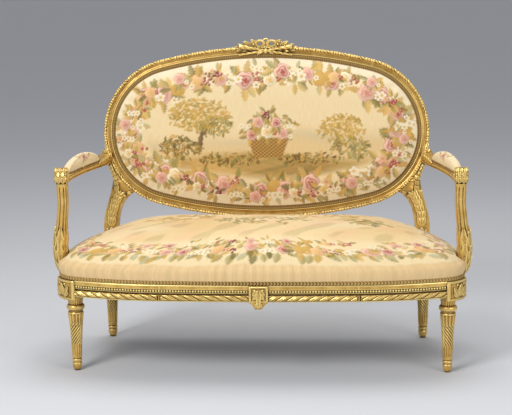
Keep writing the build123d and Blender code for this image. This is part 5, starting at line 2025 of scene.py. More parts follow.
class Loom:
    """Dyes a cloth's points by laying woven motifs over one another."""

    greens = (Dye.OLIVE, Dye.SAGE, Dye.MOSS, Dye.HONEY, Dye.GOLD, Dye.OCHRE)
    berry = 0.0062

    def __init__(self, places: Array, colours: Array, seed: int) -> None:
        """Start from a ground.

        Args:
            places: Where each point lies in the flat cloth, in metres.
            colours: The ground's colour at each point, which the motifs change.
            seed: Seed of the small irregularities.
        """
        self.places = places
        self.colours = colours
        self.chance = np.random.default_rng(seed)

    def near(self, centre: Point, reach: float) -> tuple[Array, Array, Array]:
        """Find the points near a place.

        Args:
            centre: The place.
            reach: How far to look each way.

        Returns:
            The points' numbers, and their offsets across and up.
        """
        offset = self.places - np.array(centre)
        keep = np.flatnonzero((np.abs(offset[:, 0]) < reach) & (np.abs(offset[:, 1]) < reach))
        return keep, offset[keep, 0], offset[keep, 1]

    def turn(self) -> float:
        """Draw an angle."""
        return self.chance.uniform(0, 6.3)

    def lay(self, keep: Array, colour: Array, cover: Array) -> None:
        """Weave a colour over some points, each by its own share."""
        self.colours[keep] = mingle(self.colours[keep], colour, cover)

    def rose(self, centre: Point, radius: float, pale: Dye, deep: Dye) -> None:
        """Weave an open rose with swirled petals.

        Args:
            centre: Its middle.
            radius: Its radius.
            pale: The wool of its rim.
            deep: The wool of its heart.
        """
        keep, x, y = self.near(centre, radius * 1.2)
        far = np.hypot(x, y) / radius
        angle = np.arctan2(y, x) + self.turn()
        rim = 1 + 0.07 * np.cos(5 * angle) + 0.04 * np.cos(8 * angle + 1.3)
        swirl = np.sin(15.0 * far + 1.7 * np.sin(3 * angle + 4 * far))
        colour = mingle(pale.wool, deep.wool, np.clip(0.86 - 0.92 * far + 0.30 * swirl, 0, 1))
        colour *= (1 + 0.14 * np.clip((y - x) / radius, -1, 1))[:, None]
        heart = ease(0.34, 0.12, np.hypot(x - 0.12 * radius, y + 0.12 * radius) / radius)
        self.lay(keep, mingle(colour, deep.wool, 0.75 * heart), ease(rim, rim - 0.16, far))
        line = np.exp(-(((far - rim + 0.06) / 0.06) ** 2)) * 0.30
        self.lay(keep, deep.wool * 0.8, line)

    def leaf(self, root: Point, length: float, width: float, heading: float, dark: Dye, pale: Dye) -> None:
        """Weave a leaf with a light and a dark half and a pale vein.

        Args:
            root: The foot of its vein.
            length: Its length.
            width: Its width.
            heading: The way that it points, in radians.
            dark: The wool of its dark half.
            pale: The wool of its light half and vein.
        """
        way = (cos(heading), sin(heading))
        centre = (root[0] + way[0] * length / 2, root[1] + way[1] * length / 2)
        keep, x, y = self.near(centre, length * 0.62)
        along = (x * way[0] + y * way[1]) / length + 0.5
        across = (y * way[0] - x * way[1]) / (width / 2)
        body = np.sin(pi * np.clip(along, 0, 1) ** 0.85) ** 0.8 * (1 + 0.14 * np.sin(along * 34))
        cover = ease(body, body - 0.50, np.abs(across)) * ((along > 0) & (along < 1))
        colour = mingle(dark.wool, pale.wool, 0.5 + 0.5 * np.tanh(across * 4))
        vein = np.exp(-((across / 0.16) ** 2)) * 0.45
        self.lay(keep, mingle(colour, pale.wool * 1.15, vein), cover * 0.84)

    def blossom(self, centre: Point, radius: float, petal: Dye, eye: Dye) -> None:
        """Weave a small flower with five petals.

        Args:
            centre: Its middle.
            radius: Its radius.
            petal: The petals' wool.
            eye: The wool of its eye.
        """
        keep, x, y = self.near(centre, radius * 1.1)
        far = np.hypot(x, y) / radius
        angle = np.arctan2(y, x) + self.turn()
        rim = 0.62 + 0.38 * np.abs(np.cos(2.5 * angle))
        self.lay(keep, petal.wool * (0.82 + 0.25 * far)[:, None], ease(rim, rim - 0.18, far))
        self.lay(keep, eye.wool, ease(0.34, 0.2, far))

    def fruit(self, centre: Point, radius: float, deep: Dye, stretch: float) -> None:
        """Weave a round or pear-shaped fruit with a lit side.

        Args:
            centre: Its middle.
            radius: Its half width.
            deep: The wool of its shade.
            stretch: Height to width.
        """
        keep, x, y = self.near(centre, radius * 1.6)
        waist = 1 - 0.30 * np.clip(y / radius, -1, 1.4) * (stretch - 1) * 2
        far = np.hypot(x / waist, y / stretch) / radius
        lit = np.hypot(x + 0.35 * radius, y - 0.3 * radius) / radius
        shade = np.clip(0.45 + 0.55 * lit - 0.2, 0, 1)
        self.lay(keep, mingle(Dye.HONEY.wool, deep.wool, shade), ease(1.0, 0.86, far))

    def berries(self, centre: Point, radius: float, count: int, deep: Dye) -> None:
        """Weave a cluster of berries, each with a small light.

        Args:
            centre: Its middle.
            radius: Its radius.
            count: Berries in it.
            deep: Their wool.
        """
        for _ in range(count):
            away = radius * sqrt(self.chance.uniform(0, 1))
            turn = self.turn()
            spot = (centre[0] + away * cos(turn), centre[1] + 0.8 * away * sin(turn))
            keep, x, y = self.near(spot, 0.008)
            self.lay(keep, deep.wool, ease(1.0, 0.7, np.hypot(x, y) / self.berry) * 0.9)
            light = np.hypot(x + 0.002, y - 0.002) / self.berry
            self.lay(keep, Dye.BLUSH.wool, ease(0.5, 0.2, light) * 0.8)

    def foliage(self, centre: Point, half: Point, count: int, wools: Sequence[Dye], size: float) -> None:
        """Weave a mass of small leaves in an oval.

        Args:
            centre: The middle of the mass.
            half: Its half width and half height.
            count: Leaves in it.
            wools: Their colours.
            size: A leaf's length.
        """
        for _ in range(count):
            away = sqrt(self.chance.uniform(0, 1))
            turn = self.turn()
            spot = (centre[0] + half[0] * away * cos(turn), centre[1] + half[1] * away * sin(turn))
            one, two = self.chance.choice(len(wools), 2)
            length = size * self.chance.uniform(0.7, 1.3)
            self.leaf(spot, length, length * 0.5, self.turn(), wools[one], wools[two])

    def posy(self, centre: Point, size: float, kind: int) -> None:
        """Weave one bunch of a garland: its leaves first, then what stands on them.

        Args:
            centre: The bunch's middle.
            size: The radius of a rose in it.
            kind: Which of the bunches it is.
        """

        def beside(across: float, up: float) -> Point:
            """Give a place near the middle, in sizes of a rose."""
            return centre[0] + across * size, centre[1] + up * size

        for _ in range(5):
            one, two = self.chance.choice(len(self.greens), 2)
            heading = self.turn()
            length = size * self.chance.uniform(1.3, 2.0)
            root = beside(0.5 * cos(heading), 0.5 * sin(heading))
            self.leaf(root, length, length * 0.52, heading, self.greens[one], self.greens[two])
        if kind in (0, 5):
            self.rose(centre, size, Dye.BLUSH, Dye.CARMINE if kind == 0 else Dye.ROSE)
            self.blossom(beside(1.2, -0.5), size * 0.45, Dye.PALE, Dye.OCHRE)
        elif kind == 1:
            for across in (-0.7, 0.1, 0.8):
                spot = beside(across, self.chance.uniform(-0.6, 0.6))
                self.blossom(spot, size * 0.62, Dye.PALE, Dye.HONEY)
        elif kind == 2:
            self.berries(centre, size * 0.85, 11, (Dye.WINE, Dye.CARMINE)[int(self.chance.integers(2))])
            self.blossom(beside(-1, 0.4), size * 0.5, Dye.PEACH, Dye.OCHRE)
        elif kind == 3:
            self.rose(centre, size * 0.95, (Dye.PALE, Dye.PEACH)[int(self.chance.integers(2))], Dye.HONEY)
            self.berries(beside(1, 0), size * 0.4, 4, Dye.CARMINE)
        else:
            self.fruit(centre, size * 0.72, Dye.OCHRE, 1.25)
            self.fruit(beside(1, 0.2), size * 0.62, Dye.GOLD, 1.0)


def drift(places: Array, across: float, up: float, seed: int) -> Array:
    """Give slow waves over a cloth, from about -1 to 1.

    Args:
        places: Places in the flat cloth.
        across: Waves a metre across.
        up: Waves a metre up.
        seed: Seed of the waves.

    Returns:
        The waves' height at each place.
    """
    chance = np.random.default_rng(seed)
    total = np.zeros(len(places))
    for _ in range(7):
        one, two = chance.uniform(0.4, 1.6, 2)
        turn = chance.uniform(-1, 1)
        phase = chance.uniform(0, 6.3)
        wave = 2 * pi * (places[:, 0] * across * one + places[:, 1] * up * two * turn)
        total += np.sin(wave + phase)
    return total / 4


def stretch(piece: Piece, size: Sequence[float], rests: Sequence[str]) -> None:
    """Take a cloth's flat size and the pieces that carry it, and use neither."""
    tuple(float(part) for part in size)
    list(rests)


@dataclass
class Back:
    """The padded back: a crowned tapestry oval in its braid, and the plain cloth behind."""

    plan: OvalPlan
    finishes: Finishes
    inset: float = 0.041
    base_w: float = 0.0068
    wall_w: float = 0.009
    crown: float = 0.034
    reach: float = 0.190
    cells: tuple[int, int] = (136, 72)
    outside_inset: float = 0.0285
    outside_w: float = -0.0130
    braid_edge: float = 0.0284
    braid_pitch: float = 0.0068
    braid_front: float = 0.72
    braid_groove: float = 0.58

    def rise(self, u: Array, v: Array) -> Array:
        """Give the crown's height above the plane at points about the oval's centre.

        Args:
            u: Their places across.
            v: Their places up.

        Returns:
            The heights.
        """
        into = np.clip(self.plan.inside(u, v) - self.inset, 0, None)
        cosine = 1 - np.clip(into / self.reach, 0, 1) ** (2 / 3)
        return self.wall_w + self.crown * np.sqrt(np.clip(1 - cosine**2, 0, 1))

    def fold(self, corner: Vector, inset: float) -> Vector:
        """Give the place of a corner of the cover's edge when it is turned in under the pad.

        Args:
            corner: The corner.
            inset: How far it is turned in.

        Returns:
            Its new place.
        """
        offset = corner - self.plan.centre
        rise = offset.dot(self.plan.out)
        inward = offset - self.plan.out * rise
        return corner + self.plan.out * (self.base_w - rise) - inward.normalized() * inset

    def pad(self) -> Piece:
        """Shape, swell and close the padded cover.

        Returns:
            The cover.
        """
        mesh = Carver("back_tapestry")
        verts, ring, edge = mesh.cover(self.cells, self.plan.edge(self.inset, 400), (0.0, 0.0))
        flat = edge * (np.sin(ring * pi / 2) ** 0.92)[:, None]
        for vert, (u, v), w in zip(verts, flat, self.rise(*flat.T)):
            vert.co = self.plan.spot(u, v + self.plan.centre_v, w)
        nodes = ["back_cover", "back_pad", "back_hessian"]
        piece = mesh.done(self.finishes.tapestry, "back_tapestry", nodes, SOFT_CREASE)
        swell(piece, ring > 0.93, 3.0, 0.006)
        refine(piece)
        tuck(piece, self.fold, ((0.0,), (0.004,)))
        return piece

    def ground(self, places: Array) -> Array:
        """Weave the ground: a cream field with a quiet landscape in its middle.

        Args:
            places: Each point's place about the oval's centre.

        Returns:
            The ground's colours.
        """
        u, v = places.T
        into = self.plan.inside(u, v) - self.inset
        pale = 0.75 * ease(0.045, 0.0, into) + 0.25 * ease(0.10, 0.22, v)
        colours = mingle(Dye.CREAM.wool, Dye.PALE.wool, pale)
        middle = ease(0.085, 0.125, into)
        slow = drift(places, 2.2, 4.0, 11)
        fine = drift(places, 9.0, 40.0, 12)
        hill = v + 0.030 - 0.018 * np.sin(7 * u + 0.6) - 0.008 * np.sin(19 * u)
        wash(colours, ease(0.060, -0.030, hill) * middle * 0.62, Dye.SAND)
        mist = np.exp(-((hill / 0.018) ** 2)) * middle * 0.30 * (0.6 + 0.4 * slow)
        wash(colours, np.clip(mist, 0, 1), Dye.MIST)
        bank = v + 0.088 - 0.014 * np.sin(9 * u + 2.0) + 0.006 * fine
        near = ease(0.020, -0.015, bank) * middle
        wash(colours, near * 0.80, Dye.OCHRE)
        wash(colours, np.clip(near * (0.35 + 0.4 * fine + 0.3 * slow), 0, 0.85), Dye.OLIVE)
        dusk = near * ease(0.02, -0.05, bank) * (0.25 + 0.45 * slow)
        wash(colours, np.clip(dusk, 0, 0.7), Dye.BROWN)
        return colours

    def scene(self, loom: Loom) -> None:
        """Weave trees, bushes and a basket of flowers on the landscape.

        Args:
            loom: The cloth.
        """
        for u, v, lean, length in (
            (-0.235, -0.085, 1.45, 0.105),
            (-0.225, -0.02, 1.15, 0.075),
            (0.262, -0.08, 1.7, 0.08),
        ):
            loom.leaf((u, v), length, 0.024, lean, Dye.UMBER, Dye.BROWN)
        for centre, half, count, wools, size in (
            ((-0.235, 0.058), (0.105, 0.054), 330, GOLDS, 0.019),
            ((-0.180, 0.020), (0.062, 0.034), 130, GREENS, 0.018),
            ((-0.300, -0.056), (0.070, 0.040), 150, BROWNS, 0.020),
            ((0.268, 0.012), (0.078, 0.046), 220, GOLDS, 0.018),
            ((0.300, -0.060), (0.065, 0.034), 140, GREENS, 0.019),
            ((0.150, -0.094), (0.110, 0.018), 130, BROWNS, 0.018),
            ((-0.130, -0.096), (0.110, 0.018), 130, BROWNS, 0.018),
            ((0.020, 0.020), (0.085, 0.045), 60, GREENS, 0.034),
        ):
            loom.foliage(centre, half, count, wools, size)
        keep, x, y = loom.near((0.010, -0.052), 0.1)
        wide = 0.058 + 0.35 * (y + 0.02)
        inside = ease(wide, wide - 0.006, np.abs(x)) * ease(-0.042, -0.036, y) * ease(0.034, 0.028, y)
        plait = 0.5 + 0.5 * np.sin(x * 420) * np.sin(y * 520)
        loom.lay(keep, mingle(Dye.BROWN.wool, Dye.OCHRE.wool, plait), inside)
        for u, v, size, kind in (
            (-0.048, -0.010, 0.021, 0),
            (0.060, -0.006, 0.022, 5),
            (0.006, 0.000, 0.025, 3),
            (-0.026, 0.034, 0.021, 5),
            (0.038, 0.032, 0.020, 0),
            (-0.072, 0.020, 0.017, 1),
            (0.084, 0.026, 0.017, 1),
            (0.006, 0.060, 0.017, 2),
        ):
            loom.posy((u, v), size, kind)

    def garland(self, loom: Loom) -> None:
        """Weave the garland of roses, fruit and berries round the oval.

        Args:
            loom: The cloth.
        """

        def spot(share: float, inset: float) -> Point:
            """Give a place of the cloth at a share of the oval's girth."""
            offset = self.plan.rim(self.plan.girth * share, inset, 0.0) - self.plan.centre
            return offset.x, offset.dot(self.plan.up)

        order = (0, 1, 5, 2, 3, 0, 4, 5, 1, 0, 3, 2)
        count = 62
        for index in range(count):
            place = spot((index + 0.5) / count, 0.106 + loom.chance.uniform(-0.022, 0.020))
            loom.posy(place, loom.chance.uniform(0.0245, 0.0345), order[index % len(order)])
        order = (1, 3, 2, 1, 5)
        count = 40
        for index in range(count):
            place = spot((index + 0.2) / count, 0.083 + loom.chance.uniform(-0.012, 0.012))
            if place[1] < 0.05 or index % 2:
                loom.posy(place, loom.chance.uniform(0.019, 0.025), order[index % len(order)])

    def dress(self, piece: Piece) -> None:
        """Dye the padded cover.

        Args:
            piece: The cover.
        """
        places = np.stack(self.plan.flatten(corners_of(piece.data))[:2], axis=1)
        loom = Loom(places, self.ground(places), 5)
        self.scene(loom)
        self.garland(loom)
        tint(piece.data, loom.colours, places)

    def braid(self, name: str, node: str, high: float, face: float, foot: float) -> None:
        """Make a braid round the oval: a ribbed band with a row of chevrons along its inner edge.

        Args:
            name: The piece's name.
            node: The CAD node that it stands for.
            high: Inset of its inner edge.
            face: Height of its face above the plane.
            foot: Height of its foot.
        """
        girth, low, split = self.plan.girth, self.braid_edge, self.braid_groove
        ribs = round(girth / self.braid_pitch)
        sign = copysign(1, face - foot)
        rim = face - sign * 0.001
        mesh = Carver(name)

        def place(x: float, y: float) -> Vector:
            """Place a corner of the braid.

            Args:
                x: Its place round the section, from -1 to 1.
                y: Its place along, from -1 to 1.

            Returns:
                The corner's place.
            """
            run = girth * (y + 1) / 2 % girth
            turn = (x + 1) / 2 % 1.0
            if turn >= self.braid_front:
                share = (turn - self.braid_front) / (1 - self.braid_front)
                return self.plan.rim(run, high + (low - high) * share, foot if 0 < share < 1 else rim)
            share = turn / self.braid_front
            phase = 2 * pi * run * ribs / girth
            bent = abs((share - split) / (1 - split) * 2 - 1)
            lift = 0.0008 * cos(phase) if share < split else 0.0010 * cos(phase + 2.2 * bent)
            lift -= 0.0012 * exp(-(((share - split) / 0.06) ** 2))
            return self.plan.rim(run, low + (high - low) * share, (face if share else rim) + sign * lift)

        mesh.tube(14, 4 * ribs, place)
        piece = self.finishes.gimp(mesh, node)
        u, v, w = self.plan.flatten(corners_of(piece.data))
        share = (self.plan.inside(u, v) - low) / (high - low)
        lift = (w - face) * sign
        # Painted shade: darker where the braid's surface sinks, lighter where its ribs and chevrons stand
        # out.
        shade = np.where(share < split, ease(-0.0008, 0.0007, lift), ease(-0.0010, 0.0010, lift) * 0.8)
        shade_braid(piece, shade, np.stack((u, v), axis=1))

    def outside(self) -> None:
        """Stretch the plain cloth over the outside of the back."""
        mesh = Carver("outside_back")
        verts, ring, edge = mesh.cover((64, 36), self.plan.edge(self.outside_inset, 300), (0.0, 0.0))
        flat = edge * np.sin(ring * pi / 2)[:, None]
        for vert, (u, v), sag in zip(verts, flat, 0.0016 * np.cos(ring * pi / 2)):
            vert.co = self.plan.spot(u, v + self.plan.centre_v, self.outside_w + sag)
        piece = mesh.done(self.finishes.outside, "outside_cloth", ["outside_back_cover"], SOFT_CREASE)
        if piece.data.polygons[0].normal.y < 0:
            piece.data.flip_normals()
        shade = 1 + 0.05 * drift(flat, 5.0, 5.0, 3)
        tint(piece.data, Dye.CREAM.wool * 0.92 * shade[:, None], flat)
        size = 2 * (np.array((self.plan.half_width, self.plan.half_height)) - self.outside_inset)
        rests = ["oval_back_top_rail", "oval_back_bottom_rail", "oval_back_end_left", "oval_back_end_right"]
        stretch(piece, size, rests)

    def build(self) -> None:
        """Make the back's upholstery."""
        self.dress(self.pad())
        self.braid("back_braid", "back_gimp", 0.0418, 0.0124, 0.0090)
        self.outside()
        self.braid("outside_braid", "outside_back_gimp", 0.0408, -0.0152, -0.0132)


@dataclass
class Seat:
    """The sprung seat: a domed tapestry cover, its braid, and the dust cloth under the rails."""

    plan: SeatPlan
    finishes: Finishes
    inset: float = 0.0045
    band_top: float = 0.330
    crown_z: float = 0.476
    middle: Point = (0.0, -0.0395455)
    bulge: float = 0.012
    bulge_reach: float = 0.36
    cells: tuple[int, int] = (142, 86)
    rake: float = radians(8.0)
    support_y: float = -0.1145
    support_lean: float = -0.1634
    support_face: float = 0.6385
    support_half: float = 0.027
    stile_face: float = 0.5215
    stile_y: float = 0.2014
    room: float = 0.030
    folds: tuple[Point, Point] = ((0.955, 0.3166), (0.84, 0.3985))
    braid_pitch: float = 0.0108
    braid_front: float = 0.66
    braid_gap: Point = (0.047, 0.098)
    dust_inset: float = 0.0230
    dust_z: float = 0.2650
    post_y: float = 0.2045
    corner_way: Point = (0.78, 0.62)
    corner_reach: float = 0.535

    def profile(self) -> tuple[Array, Array, Array]:
        """Give the dome's section from its middle to its foot: run, share of the outline, height.

        Returns:
            The three, each from the middle outwards.
        """
        turn = np.linspace(0, pi / 2, 400)
        rise = np.cos(turn) ** (2 / 3)
        share = np.sin(turn) + self.bulge * np.sin(pi * np.minimum(rise / self.bulge_reach, 1))
        share = np.append(share, 1.0)
        height = np.append(self.band_top + rise * (self.crown_z - self.band_top), self.plan.rail_top)
        run = np.concatenate(([0], np.cumsum(np.hypot(np.diff(share) * 0.42, np.diff(height)))))
        return run / run[-1], share, height

    def clear(self, points: Array) -> Array:
        """Draw the cover in where the arm supports and the back posts stand.

        Args:
            points: The cover's corners.

        Returns:
            The corners, moved clear.
        """
        x, y, z = points.T
        over = np.abs(x)
        middle = self.support_y + (z - self.plan.rail_top) * self.support_lean
        beside = ease(self.support_half + self.room, self.support_half, np.abs(y - middle))
        over = over + beside * (np.minimum(over, self.support_face) - over)
        limit = self.stile_y + (z - self.band_top) * tan(self.rake)
        beside = ease(self.stile_face - self.room, self.stile_face, over)
        y = y + beside * (np.minimum(y, limit) - y)
        return np.stack((np.sign(x) * over, y, z), axis=1)

    def fold(self, corner: Vector, share: float, z: float) -> Vector:
        """Give the place of a corner of the cover's edge when it is turned in over the rails."""
        centre = Vector(self.middle)
        return (centre + (corner.to_2d() - centre) * share).to_3d() + UP * z

    def pad(self) -> Piece:
        """Shape, swell and close the padded cover.

        Returns:
            The cover.
        """
        mesh = Carver("seat_tapestry")
        verts, ring, edge = mesh.cover(self.cells, self.plan.edge(self.inset, 500), self.middle)
        run, share, height = self.profile()
        centre = np.array(self.middle)
        flat = centre + (edge - centre) * np.interp(ring, run, share)[:, None]
        for vert, (x, y), z in zip(verts, flat, np.interp(ring, run, height)):
            vert.co = (x, y, z)
        nodes = ["seat_cover", "seat_stuffing", "seat_hessian"]
        piece = mesh.done(self.finishes.tapestry, "seat_tapestry", nodes, SOFT_CREASE)
        swell(piece, ring > 0.9, 3.0, 0.007)
        refine(piece)
        place_corners(piece.data, self.clear(corners_of(piece.data)))
        tuck(piece, self.fold, self.folds)
        return piece

    def unroll(self, points: Array) -> tuple[Array, Array]:
        """Lay the cover flat near its edge.

        Args:
            points: The cover's corners.

        Returns:
            The run along the rails from the middle of the front, and the way up from the rail.
        """
        total = self.plan.reach[-1] + 0.05
        runs = np.linspace(-total, total, 1600)
        rail = np.array([self.plan.walk(float(run))[:2] for run in runs]) - np.array(self.middle)
        angle = np.unwrap(np.arctan2(rail[:, 1], rail[:, 0]))
        angle -= 2 * pi * round((angle[len(angle) // 2] + pi / 2) / (2 * pi))
        offset = points[:, :2] - np.array(self.middle)
        own = np.arctan2(offset[:, 1], offset[:, 0])
        own = np.where(own > pi / 2, own - 2 * pi, own)
        far = np.interp(own, angle, np.hypot(*rail.T))
        into = np.clip(far - np.hypot(*offset.T), 0, None)
        return np.interp(own, angle, runs), into + np.clip(points[:, 2] - self.plan.rail_top, 0, None)

    def ground(self, near: Array, top: Array) -> Array:
        """Weave the ground: a plain lower band and a landscape on top.

        Args:
            near: Each point's run along the rails, and its way up from them.
            top: Each point's place seen from above.

        Returns:
            The ground's colours.
        """
        up = near[:, 1]
        colours = np.tile(Dye.CREAM.wool, (len(near), 1))
        ragged = 0.006 * drift(near, 3.0, 6.0, 21) + 0.004 * drift(near, 16.0, 4.0, 22)
        band = ease(0.092, 0.074, up + ragged)
        wash(colours, band * 0.85, Dye.TAN)
        streak = drift(near, 26.0, 0.8, 23) * 0.6 + drift(near, 70.0, 1.0, 24) * 0.4
        colours *= (1 + 0.085 * streak * band)[:, None]
        wash(colours, ease(0.020, 0.0, up) * 0.35, Dye.SAND)
        glade = ease(0.235, 0.300, up)
        wash(colours, glade * np.clip(0.25 + 0.35 * drift(top, 2.6, 7.0, 25), 0, 0.60), Dye.HONEY)
        wash(colours, glade * np.clip(0.10 + 0.3 * drift(top, 4.0, 12.0, 26), 0, 0.4), Dye.PEACH)
        wash(colours, glade * np.clip(drift(top, 5.0, 9.0, 27) - 0.3, 0, 0.28), Dye.OLIVE)
        return colours

    def garland(self, loom: Loom, total: float) -> None:
        """Weave the garland of leaves and flowers on the shoulder.

        Args:
            loom: The cloth, laid flat along the rails.
            total: How far the garland runs each way from the middle of the front.
        """

        def spots(count: int) -> list[tuple[int, float]]:
            """Give numbered places at even distances."""
            return [(index, -total + 2 * total * (index + 0.5) / count) for index in range(count)]

        chance = loom.chance
        order = (0, 1, 3, 2, 5, 1, 0, 4, 3, 2, 1, 5)
        for index, spot in spots(74):
            wools = (GREENS, (Dye.SAGE, Dye.OLIVE, Dye.MIST, Dye.SAGE))[index % 2]
            one, two = chance.choice(4, 2)
            length = chance.uniform(0.042, 0.066)
            heading = -pi / 2 + chance.uniform(-0.9, 0.9)
            foot = 0.152 + chance.uniform(-0.014, 0.012)
            loom.leaf((spot, foot), length, length * 0.62, heading, wools[one], wools[two])
        for index, spot in spots(34):
            height = 0.172 + chance.uniform(-0.012, 0.022)
            loom.posy((spot, height), chance.uniform(0.024, 0.033), order[index % len(order)])
        for index, spot in spots(26):
            height = 0.226 + chance.uniform(-0.01, 0.012)
            loom.posy((spot, height), 0.021, order[(index + 4) % len(order)])

    def dress(self, piece: Piece) -> None:
        """Dye the padded cover: a plain lower band, a garland on the shoulder and a landscape on top.

        Args:
            piece: The cover.
        """
        points = corners_of(piece.data)
        run, up = self.unroll(points)
        top = points[:, :2]
        near = np.stack((run, up), axis=1)
        colours = self.ground(near, top)
        loom = Loom(top, colours, 8)
        for centre, half, wools in (
            ((-0.26, 0.02), (0.12, 0.060), GOLDS),
            ((0.22, 0.05), (0.14, 0.055), GOLDS),
            ((0.0, -0.06), (0.16, 0.040), GREENS),
            ((-0.08, 0.10), (0.10, 0.040), GREENS),
            ((0.36, -0.04), (0.07, 0.040), GREENS),
        ):
            loom.foliage(centre, half, 70, wools, 0.034)
        total = self.plan.reach[-1] - 0.03
        self.garland(Loom(near, colours, 9), total)
        front = ease(0.30, 0.36, np.abs(run) / total)
        threads = np.stack((top[:, 0] * (1 - front) + run * front, top[:, 1] + points[:, 2]), axis=1)
        tint(piece.data, colours, threads)

    def braid(self) -> None:
        """Make the braid round the foot of the seat: a row of chevrons, broken at the arm supports."""
        _, _, corner, end = self.plan.reach
        first, second = (corner + gap for gap in self.braid_gap)
        low, high = self.plan.rail_top + 0.0003, self.band_top
        mesh = Carver("seat_braid")
        for start, stop in ((-first, first), (second, end), (-end, -second)):

            def place(x: float, y: float, start: float = start, stop: float = stop) -> Vector:
                """Place a corner of the braid.

                Args:
                    x: Its place round the section, from -1 to 1.
                    y: Its place along, from -1 to 1.
                    start: The run at which the braid starts.
                    stop: The run at which it stops.

                Returns:
                    The corner's place.
                """
                run = start + (stop - start) * (y + 1) / 2
                turn = (x + 1) / 2 % 1.0
                if turn >= self.braid_front:
                    share = (turn - self.braid_front) / (1 - self.braid_front)
                    return self.plan.spot(run, 0.0048, high + (low - high) * share)
                share = turn / self.braid_front
                bent = abs(2 * share - 1)
                lift = 0.0011 * cos(2 * pi * (run / self.braid_pitch + 0.5 * bent)) - 0.0014 * bent**6
                return self.plan.spot(run, 0.0020 - lift, low + (high - low) * share)

            mesh.tube(18, round((stop - start) / 0.0015), place)
        piece = self.finishes.gimp(mesh, "seat_gimp")
        points = corners_of(piece.data)
        run, _ = self.unroll(points)
        # Painted highlight on the chevrons' ridges, painted shade in their grooves and towards the braid's
        # top and bottom edges.
        bent = np.abs(2 * (points[:, 2] - low) / (high - low) - 1)
        wave = 0.5 + 0.5 * np.cos(2 * pi * (run / self.braid_pitch + 0.5 * bent))
        shade = ease(0.25, 0.75, wave) * (1 - 0.4 * bent**4)
        shade_braid(piece, shade, np.stack((run, points[:, 2]), axis=1))

    def dust_cloth(self) -> None:
        """Stretch the dust cloth under the rails."""
        mesh = Carver("dust_cloth")
        verts, ring, edge = mesh.cover((60, 36), self.plan.edge(self.dust_inset, 300), self.middle)
        centre = np.array(self.middle)
        flat = centre + (edge - centre) * np.sin(ring * pi / 2)[:, None]
        x, y = np.abs(flat[:, 0]), flat[:, 1].copy()
        corner = np.maximum(0, (x * self.corner_way[0] - y * self.corner_way[1]) - self.corner_reach)
        flat[:, 0] -= np.sign(flat[:, 0]) * corner * self.corner_way[0]
        flat[:, 1] += ease(0.505, 0.530, x) * (np.minimum(y, self.post_y) - y) + corner * self.corner_way[1]
        for vert, point, sag in zip(verts, flat, 0.0015 * (1 - ring)):
            vert.co = (*point, self.dust_z - sag)
        for face in mesh.bm.faces:
            if face.normal.z > 0:
                face.normal_flip()
        piece = mesh.done(self.finishes.dust, "dust_cloth", ["dust_cover"], SOFT_CREASE)
        tint(piece.data, np.tile(np.array(linear(58, 54, 50)), (len(flat), 1)), flat)
        stretch(piece, np.ptp(flat, axis=0), ["rail_front", "rail_side_left", "rail_side_right", "back_rail"])

    def build(self) -> None:
        """Make the seat's upholstery."""
        self.dress(self.pad())
        self.braid()
        self.dust_cloth()


